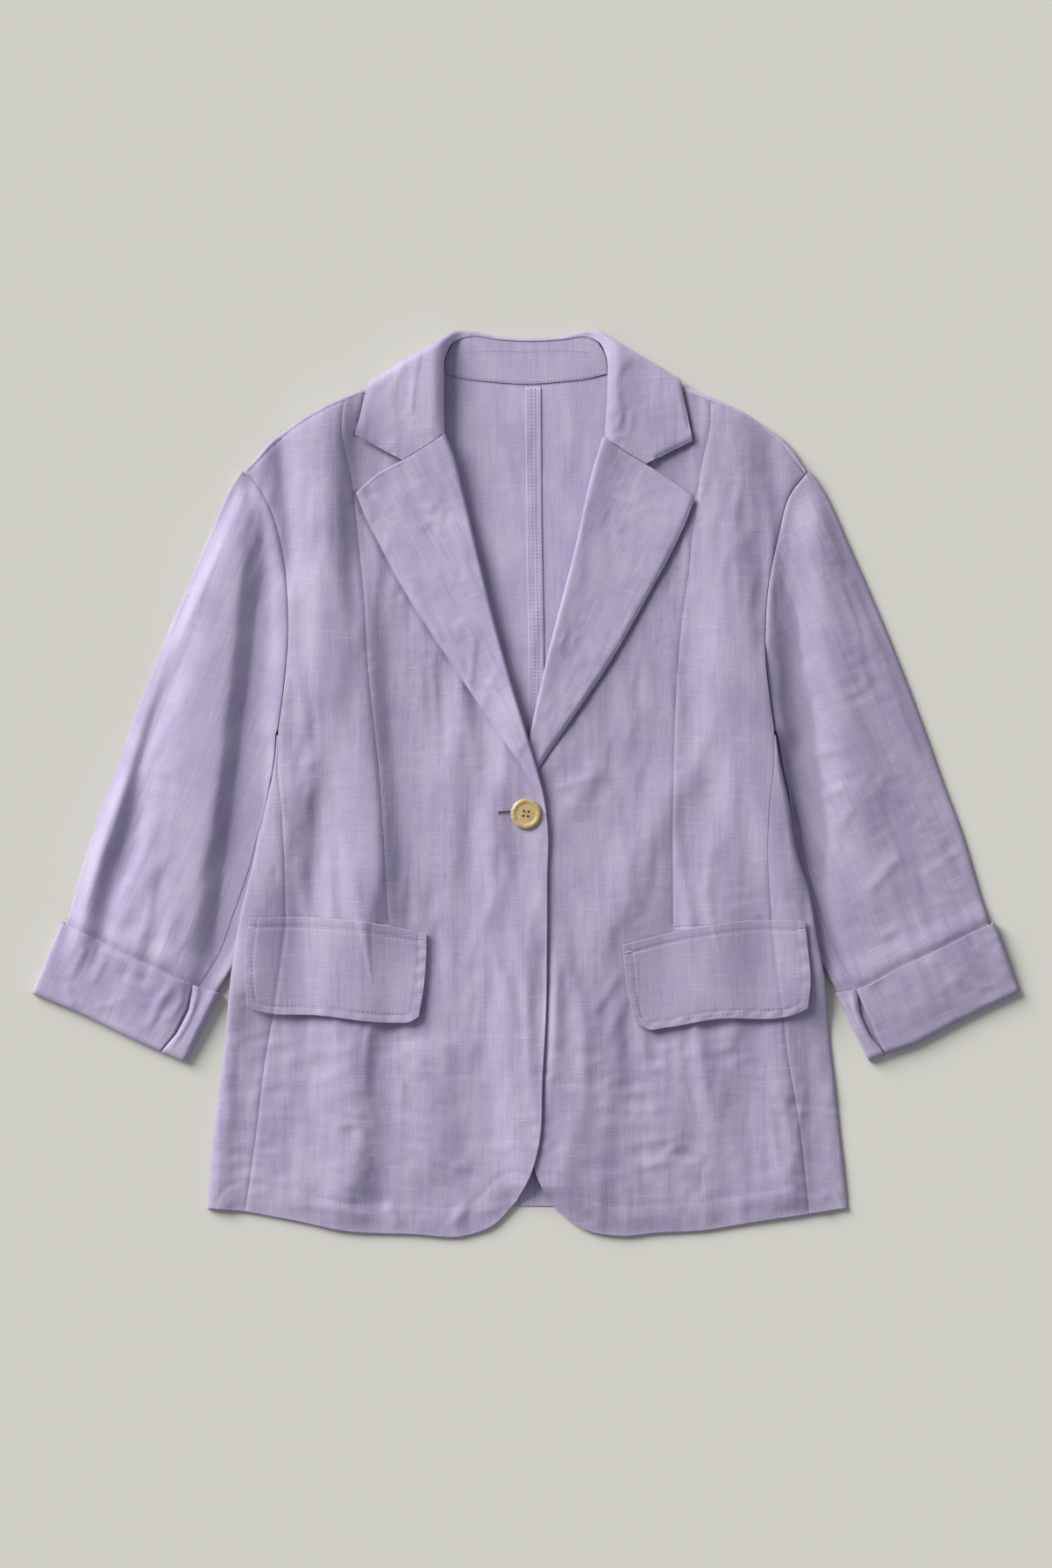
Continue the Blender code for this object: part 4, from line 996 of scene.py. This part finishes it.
def sleeveHeight(side, press=sleeves["press"]):
    floor = sleeveFloor(side)
    line = lines[side]

    def height(x, y):
        inner = nearest(x, y, line["sleeveInner"].line[::3])[0]
        outer = nearest(x, y, line["sleeveOuter"].line[::3])[0]
        seam = nearest(x, y, line["armhole"].line[::3])[0]
        crown = sleeves["crown"][side] * smooth(inner, 12, 60) * smooth(outer, -6, 40)
        top = floor(x, y) + sleeves["hollow"] + crown
        folds = sleeveRelief[side].at(x, y) * smooth(outer, 1, 14)
        top = top + np.maximum(folds, 0) * smooth(inner, 6, 26) + np.minimum(folds, 0) * smooth(inner, 0, 8)
        cuff = nearest(x, y, line["cuffTop"].line[::4])[0]
        top = top - press * np.exp(-(cuff / sleeves["pressWidth"]) ** 2)
        top = limited(np.maximum(top, floor(x, y) + sleeves["least"]), *sleeves["levels"])
        end = nearest(x, y, line["cuffBottom"].line[::4])[0]
        top = top - (top - floor(x, y) - sleeves["hemLevel"]) * (1 - smooth(end, *sleeves["hemReach"]))
        reach, cap = sleeves["join"][side]
        join = smooth(seam, 0, reach)
        dip = fronts["seamDip"] * np.exp(-(seam / fronts["seamWidth"]) ** 2)
        return join * top + (1 - join) * np.minimum(frontHeight(x, y, side), cap) - dip

    return height


def inseam(v):                             # how far the upper part reaches towards the inner fold
    return 0.999 - 0.055 * smooth(v, 0.5, 0.62) - 0.06 * smooth(v, 0.6, 0.9)


def makeSleeve(side):
    place = sleevePlace(side)
    heights = (sleeveHeight(side), sleeveFloor(side))
    rows = np.concatenate([[0.005], shares(470, 2.5)[3:]])
    grid = foldedGrid(place, place, rows, (56, 10, 5), sleeves["fold"], heights,
                      ends=(inseam, sleeves["hind"]))
    cloth(f"sleeve_top_{side}", [grid], linen["sleeve" + side.title()])
    inner = flipped(place)
    under = foldedGrid(inner, inner, rows[::2], (6, 8, 26), sleeves["innerFold"], heights,
                       ends=(lambda v: 1 - inseam(v), 0.999 - sleeves["hind"]),
                       closing=lambda v: smooth(v, 0.45, 0.5))
    cloth(f"sleeve_under_{side}", [under], linen["sleeve" + side.title()])


cuffs = {
    "splitAt": (0, 0.33, 0.7, 1),          # shares of its depth, and of its width at the split there
    "split": {"left": (0.842, 0.880, 0.878, 0.845), "right": (0.878, 0.905, 0.912, 0.892)},
    "slit": 0.7,
    "gape": {"left": 1.4, "right": 5.4},
    "depth": 62,
    "rounding": 3.0,
    "rise": 1.0,
    "hemLevel": 7.8,
    "thickness": 1.1,
}
cuffRelief = {"left": Relief((-415, -240), (-235, -95)), "right": Relief((235, -240), (415, -95))}
for side, turn, seed in (("left", -24, 300), ("right", 24, 350)):
    cuffRelief[side].crumple(seed, 16, 26, turn, 0.45)
    cuffRelief[side].crumple(seed + 1, 9, 12, turn, 0.2)
cuffFolds = {
    "left": [
        (-353, -128, -364, -150, -370, -164, 2.6, 1.3, 0.4),
        (-370, -160, -368, -172, -363, -184, 2.6, 1.2, 0.4),
        (-338, -138, -345, -152, -351, -167, 3.0, 1.3, 0.4),
        (-346, -133, -330, -140, -318, -147, 2.4, 0.9, 0),
        (-330, -150, -316, -156, -300, -163, 4.0, -1.2, 0),
        (-284, -160, -298, -184, -313, -208, 3.4, 1.6, 0.5),
        (-291, -167, -298, -178, -305, -190, 2.4, 1.0, 0.4),
        (-273, -172, -286, -186, -300, -200, 3.0, 1.0, 0.4),
        (-352, -180, -335, -178, -322, -170, 3.0, 0.9, 0),
        (-268, -146, -276, -186, -305, -228, 3.4, -2.2, 0),        # falls into the slit
        (-263, -146, -270.5, -186, -299, -228, 1.6, 1.6, 0),       # its lip
    ],
    "right": [
        (320, -130, 321, -137, 323, -146, 5, -1.0, 0),
        (272, -164, 280, -160, 290, -156, 3.5, 1.2, 0),
        (356, -115, 360, -125, 363, -137, 4, -0.8, 0),
        (340, -175, 322, -184, 300, -194, 8, 1.0, 0),
        (262, -150, 267.5, -188, 290, -228, 1.8, 1.4, 0),
    ],
}
for side in seams:
    for row in cuffFolds[side]:
        cuffRelief[side].fold(row)


def makeCuff(side):
    line = lines[side]
    topEdge, lowEdge = seams[side]["cuffTop"], seams[side]["cuffBottom"]
    place = patch(line["cuffTop"], line["cuffBottom"],
                  *(straight(topEdge[i], lowEdge[i]) for i in (0, -1)))
    v = shares(cuffs["depth"], 1.9)[:, None]
    width = np.linalg.norm(place(1.0, v) - place(0.0, v), axis=-1)
    angle = np.linspace(np.pi / 2, -np.pi / 2, 9)[None, :]
    bend = (layers["cloth"] / 2 + cuffs["rounding"] * (1 - np.cos(angle))) / width
    slit = (cuffs["slit"] + cuffs["gape"][side] * np.sin(np.pi * np.clip(v, 0, 1)) ** 1.5) / 2 / width
    reach = (layers["cloth"] / 2 + cuffs["rounding"]) / width
    split = np.interp(v, cuffs["splitAt"], cuffs["split"][side])

    def spread(first, last, count):
        return first + (last - first) * np.linspace(0, 1, count)[None, :]

    u = np.concatenate([spread(split - slit, reach, 56)[:, :-1], bend, spread(reach, 1 - reach, 30)[:, 1:-1],
                        1 - bend[:, ::-1], spread(1 - reach, split + slit, 12)[:, 1:]], axis=1)
    curl = np.sin(angle[0])
    turn = np.concatenate([np.ones(55), curl, -np.ones(28), curl[::-1], np.ones(11)])[None, :]
    plan = place(u, np.broadcast_to(v, u.shape))
    x, y = plan[..., 0], plan[..., 1]
    high = sleeveHeight(side, 0)(x, y) + layers["step"] + cuffs["rise"]
    high = high + np.maximum(cuffRelief[side].at(x, y) + 0.3, -0.9)
    high = high - (high - cuffs["hemLevel"]) * 0.4 * smooth(v, 0.1, 0.7)
    short = np.clip((1 - v) * cuffs["depth"] / 2, 0, 1)              # over its last 2 mm it closes
    high = np.minimum(high, ground + 2 + np.where(short < 1, 4 * np.sqrt(1 - (1 - short) ** 2), 99))
    low = cuffs["thickness"] / 2
    height = (high + low) / 2 + turn * (high - low) / 2
    cloth(f"cuff_{side}", [raised(plan, height)], linen["cuff" + side.title()], cuffs["thickness"])


flaps = {
    "width": 146,
    "depth": 72,
    "rise": 1.1,
    "lift": 2.0,               # more of it towards the flap's hem
    "thickness": 1.5,
    "band": 7.6,               # from the top edge down to its stitching
    "inset": 6.6,              # from the other edges to theirs
    "grooves": (0.6, 0.4),
    "grooveWidth": 1.1,
    "pucker": 13,
    "puckerHeight": 0.42,
}


def flapPlace(side):
    line = lines[side]
    return patch(line["flapTop"], line["flapBottom"], line["flapOuter"], line["flapInner"])


def flapHeight(x, y, side):
    lower = toSeam(x, y, "flapTop", half=side)
    hem = toSeam(x, y, "flapBottom", half=side)
    ends = toSeam(x, y, "flapOuter", "flapInner", half=side)
    rim = np.minimum(hem, ends)
    uneven = calm.at(0.8 * y + 40, 0.8 * x - 90)
    waves = np.sin(np.where(hem < ends, x, y) * 2 * math.pi / flaps["pucker"] + 2.2 * uneven)
    waves = waves * smooth(np.abs(hem - ends), 0, 5)
    pucker = flaps["puckerHeight"] * (0.6 + 0.4 * np.cos(2.6 * uneven + 1)) * waves
    pucker = pucker * np.exp(-((rim - 3.5) / 4) ** 2) * smooth(lower, 6, 14)
    groove = flaps["grooves"][0] * np.exp(-((lower - flaps["band"]) / flaps["grooveWidth"]) ** 2)
    groove = groove + flaps["grooves"][1] * np.exp(-((rim - flaps["inset"]) / flaps["grooveWidth"]) ** 2)
    lift = flaps["rise"] + flaps["lift"] * smooth(lower, 8, 65)
    return onFront(x, y, side, lift) + pucker - groove


def makeFlap(side):
    plan = flapPlace(side)(shares(flaps["width"], 1.4)[None, :], shares(flaps["depth"], 1.25)[:, None])
    grid = laid(plan, lambda x, y: flapHeight(x, y, side))
    cloth(f"flap_{side}", [grid], linen["flap" + side.title()], flaps["thickness"])


stitching = {"length": 2.3, "pitch": 3.4, "width": 0.7, "rise": 0.35, "across": False}
bar = {      # one stitch: shares of its length, width and rise
    "points": [(-0.5, 0, -0.4), (0.5, 0, -0.4)] + [(t, n, z) for t in (-0.32, 0.32)
               for n, z in ((-0.5, 0.0), (0.0, 1.0), (0.5, 0.0), (0.0, -0.6))],
    "faces": [(0, 3, 2), (0, 4, 3), (0, 5, 4), (0, 2, 5), (1, 6, 7), (1, 7, 8), (1, 8, 9), (1, 9, 6)]
             + [(2 + i, 2 + (i + 1) % 4, 6 + (i + 1) % 4, 6 + i) for i in range(4)],
}


def stitches(name, node, runs, height, material=seamThread, **changed):
    # runs: lines in plan, each sewn over with a stitch at every pitch; height: of the cloth's top face
    sizes = {**stitching, **changed}
    shape = np.array(bar["points"])
    plans = []
    for run in runs:
        run = np.asarray(run, float)
        along = np.concatenate(([0], np.cumsum(np.linalg.norm(np.diff(run, axis=0), axis=1))))
        at = np.arange(sizes["pitch"] / 2, along[-1], sizes["pitch"])
        behind, middle, ahead = (
            np.stack([np.interp(at + step, along, run[:, i]) for i in range(2)], axis=-1)
            for step in (-0.5, 0, 0.5))
        way = (ahead - behind) / np.linalg.norm(ahead - behind, axis=1)[:, None]
        if sizes["across"]:
            way = np.stack([-way[:, 1], way[:, 0]], axis=-1)
        beside = np.stack([-way[:, 1], way[:, 0]], axis=-1)
        plans.append(middle[:, None] + shape[None, :, :1] * sizes["length"] * way[:, None]
                     + shape[None, :, 1:2] * sizes["width"] * beside[:, None])
    plan = np.concatenate(plans)
    level = height(plan[..., 0], plan[..., 1]) + shape[None, :, 2] * sizes["rise"]
    points = raised(plan, level).reshape(-1, 3) * mm
    faces = [tuple(i + first for i in face)
             for first in range(0, len(points), len(shape)) for face in bar["faces"]]
    mesh = bpy.data.meshes.new(name)
    mesh.from_pydata(points.tolist(), [], faces)
    mesh.shade_smooth()
    addPiece(name, mesh, material, node)


def sewFlap(side):
    place = flapPlace(side)
    aside, up = flaps["inset"] / flaps["width"], flaps["inset"] / flaps["depth"]
    down = flaps["band"] / flaps["depth"]
    turn = np.linspace(0, np.pi / 2, 9)
    edge = np.column_stack([np.full(40, aside), np.linspace(down + 0.03, 0.86, 40)])
    corner = np.column_stack([aside + 0.05 * (1 - np.cos(turn)), 0.86 + (0.14 - up) * np.sin(turn)])
    half = np.concatenate([edge, corner])
    rim = np.concatenate([half, np.column_stack([1 - half[::-1, 0], half[::-1, 1]])])
    band = place(np.linspace(0.02, 0.98, 80), np.full(80, down))

    def height(x, y):
        return flapHeight(x, y, side) + flaps["thickness"] / 2

    stitches(f"stitches_flap_{side}", f"flap_{side}", [band, place(rim[:, 0], rim[:, 1])], height)
    tacks = [place(np.linspace(a, b, 12), np.full(12, down + shift))
             for a, b in ((0.004, 0.05), (0.95, 0.996)) for shift in (-0.006, 0.004)]
    stitches(f"tacks_flap_{side}", f"flap_{side}", tacks, height, paleThread,
             pitch=1.5, length=1.9, rise=0.45)


def sewHem(side):
    line = lines[side]
    sign = -1 if side == "left" else 1
    outline = line["hem"].line[::2]
    way = np.gradient(outline, axis=0)
    way = way / np.linalg.norm(way, axis=1)[:, None]
    inward = np.column_stack([way[:, 1], -way[:, 0]]) * sign
    row = outline + inward * fronts["hemDepth"]
    row = row[np.abs(row[:, 0]) > 60]

    def height(x, y):
        return frontHeight(x, y, side) + 0.5

    stitches(f"stitches_hem_{side}", f"front_{side}", [row], height)


def sewStand():
    low = curve(standLow).line + np.array([0, 1.9])

    def height(x, y):
        return backHeight(x, y) + stand["rise"] + stand["thickness"] / 2

    runs = [low[np.abs(low[:, 0]) < 60], curve(stand["upperRow"]).line]
    stitches("stitches_stand", "collar_stand", runs, height, pitch=stand["pitch"], length=2.0)


strip = {"width": 13.0, "top": 323.4, "rows": (5.2, 8.2), "groove": 0.25, "grooveWidth": 0.8,
         "rise": 0.8, "thickness": 0.5, "pitch": 2.9}


def makeStrip():                           # the centre seam's allowance, pressed to one side
    spine = curve(centreBack[:5])(np.linspace(0, 1, 150))
    spine = spine[spine[:, 1] < strip["top"]]
    across = np.array([0.3, 1.2, 3, 5.2, 7, 8.2, 10, 12, strip["width"]])[None, :]
    x = spine[:, :1] - across
    y = np.broadcast_to(spine[:, 1:], x.shape)
    groove = strip["groove"] * sum(np.exp(-((across - at) / strip["grooveWidth"]) ** 2)
                                   for at in strip["rows"])
    height = backHeight(x, y) + strip["rise"] - groove
    clothPiece("linen_back_strip", [np.stack([x, y, height], axis=-1)], linen["back"], strip["thickness"],
               "back_left")
    runs = [np.column_stack([spine[:, 0] - at, spine[:, 1]]) for at in strip["rows"]]
    stitches("stitches_back_strip", "back_left", runs, lambda x, y: backHeight(x, y) + strip["rise"] + 0.1,
             pitch=strip["pitch"], length=2.0)


# discs in the button's holes: thread, with near-black colours that are painted shade in the holes
threadAndShadeInHoles = {"sunk": 0.76, "away": 2.7, "radius": 1.05, "turn": np.pi / 4 - 0.12,
                "colours": ((0.030, 0.014, 0.008, 1), (0.055, 0.028, 0.016, 1))}
buttonhole = {"start": (-21.5, -23.0), "end": (2.0, -22.0), "slit": 0.9, "reach": 1.3, "pitch": 0.62,
              "tack": 1.6, "rise": 0.62,
              "colours": ((0.020, 0.017, 0.035, 1), (0.035, 0.03, 0.06, 1))}


def makeButtonhole():
    start, end = np.array(buttonhole["start"]), np.array(buttonhole["end"])
    way = (end - start) / np.linalg.norm(end - start)
    side = np.array([-way[1], way[0]])
    run = np.array([start + way * t for t in np.linspace(0, np.linalg.norm(end - start), 40)])
    offset = side * (buttonhole["slit"] / 2 + buttonhole["reach"] / 2)

    def height(x, y):
        return frontHeight(x, y, "left") + buttonhole["rise"]

    tack = np.array([start - side * buttonhole["tack"], start + side * buttonhole["tack"]]) - way * 0.8
    stitches("buttonhole_edge", "front_left", [run + offset, run - offset], height, across=True,
             pitch=buttonhole["pitch"], length=buttonhole["reach"], width=buttonhole["pitch"], rise=0.2)
    stitches("buttonhole_tack", "front_left", [tack], height, across=True,
             pitch=0.6, length=1.9, width=0.6, rise=0.5)
    # a dark sheet in the slit: painted shade between its lips
    rim = np.stack([run + side * buttonhole["slit"] / 2, run - side * buttonhole["slit"] / 2], axis=1)
    grid = laid(rim, lambda x, y: height(x, y) + 0.05)
    shade = slitMaterial("slit_painted_shade", *buttonhole["colours"])
    clothPiece("buttonhole_slit", [grid], shade, 0.1, "front_left")


def makeButtonThreadAndShade():                    # the thread seen in the button's holes, nearly black: thread and painted shade in the holes
    low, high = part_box("button")
    middle = (low + high) / 2 / mm
    rim = np.linspace(0, 2 * np.pi, 13)[:-1]
    level = high.z / mm - threadAndShadeInHoles["sunk"]
    points, faces = [], []
    for turn in threadAndShadeInHoles["turn"] + np.arange(4) * np.pi / 2:
        x = middle.x + threadAndShadeInHoles["away"] * np.cos(turn) + threadAndShadeInHoles["radius"] * np.cos(rim)
        y = middle.y + threadAndShadeInHoles["away"] * np.sin(turn) + threadAndShadeInHoles["radius"] * np.sin(rim)
        faces.append(tuple(range(len(points), len(points) + 12)))
        points += np.stack([x, y, np.full(12, level)], axis=-1).tolist()
    mesh = bpy.data.meshes.new("button_thread_and_shade")
    mesh.from_pydata((np.array(points) * mm).tolist(), [], faces)
    addPiece("button_thread_and_shade", mesh, slitMaterial("button_thread_and_shade", *threadAndShadeInHoles["colours"]), "front_left")


for half in seams:
    makeBack(half)
    makeSidePanel(half)
    makeSideFront(half)
    makeFront(half)
    makeLapel(half)
    makeSleeve(half)
    makeCuff(half)
    makeFlap(half)
makeStand()
makeCollar()
print("cloth pieces made")
for half in seams:
    sewFlap(half)
    sewHem(half)
sewStand()
makeStrip()
makeButtonhole()
makeButtonThreadAndShade()
print("stitches made")

# Each piece's cut: the largest width and length of its flat shape, and the share of them that it fills
cuts = {
    "back": (0.252, 0.700, 0.75),
    "side": (0.110, 0.405, 0.60),
    "side_front": (0.118, 0.425, 0.60),
    "front": (0.262, 0.710, 0.55),
    "lapel": (0.115, 0.300, 0.48),
    "sleeve_top": (0.200, 0.480, 0.59),
    "sleeve_under": (0.160, 0.480, 0.61),
    "cuff": (0.310, 0.062, 0.90),
    "flap": (0.152, 0.078, 0.94),
}
for half in seams:
    for part, (width, length, share) in cuts.items():
        node = f"{part}_{half}"

view = {"lens": 85, "sensor": 36, "away": 3.0}         # straight above


def camera():
    data = bpy.data.cameras.new("camera")
    data.lens = view["lens"]
    data.sensor_width = view["sensor"]
    eye = bpy.data.objects.new("camera", data)
    eye.location = (0, 0, view["away"])
    bpy.context.scene.collection.objects.link(eye)
    bpy.context.scene.camera = eye


studio = {
    "floor": (0.573, 0.576, 0.53),
    "half": 20.0,              # of the floor's width
    "sky": 0.37,
    "skyColour": (0.91, 0.90, 1.0, 1),
    "sun": 5.1,
    "sunColour": (1.0, 0.975, 0.925),
    "height": 28,              # degrees above the floor
    "from": 138,               # degrees, from the upper left
    "softness": 34,
}


def stageAndLight():
    mesh = bpy.data.meshes.new("floor")
    half = studio["half"]
    mesh.from_pydata([(-half, -half, 0), (half, -half, 0), (half, half, 0), (-half, half, 0)], [],
                     [(0, 1, 2, 3)])
    floor = bpy.data.objects.new("floor", mesh)
    bpy.context.scene.collection.objects.link(floor)
    cook = Recipe("floor")
    mottle = cook.noise((9, 9, 9), 0.0, 4.0, 0.6)
    colour = cook.blend(mottle, tinted(studio["floor"], 0.97), tinted(studio["floor"]))
    shader = cook.node("BsdfPrincipled", None, {"Base Color": colour, "Roughness": 0.9})
    mesh.materials.append(cook.finish(shader))
    floor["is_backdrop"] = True
    sun = bpy.data.lights.new("sun", "SUN")
    sun.energy = studio["sun"]
    sun.angle = math.radians(studio["softness"])
    sun.color = studio["sunColour"]
    lamp = bpy.data.objects.new("sun", sun)
    lamp.rotation_euler = (0, math.radians(90 - studio["height"]), math.radians(studio["from"]))
    bpy.context.scene.collection.objects.link(lamp)
    world = bpy.data.worlds.new("studio")
    world.use_nodes = True
    sky = world.node_tree.nodes["Background"].inputs
    sky["Color"].default_value = studio["skyColour"]
    sky["Strength"].default_value = studio["sky"]
    bpy.context.scene.world = world
    bpy.context.scene.view_settings.view_transform = "Standard"


camera()
stageAndLight()
for node, piece in made.items():
    print(node, len(piece.data.polygons))
low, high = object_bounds()
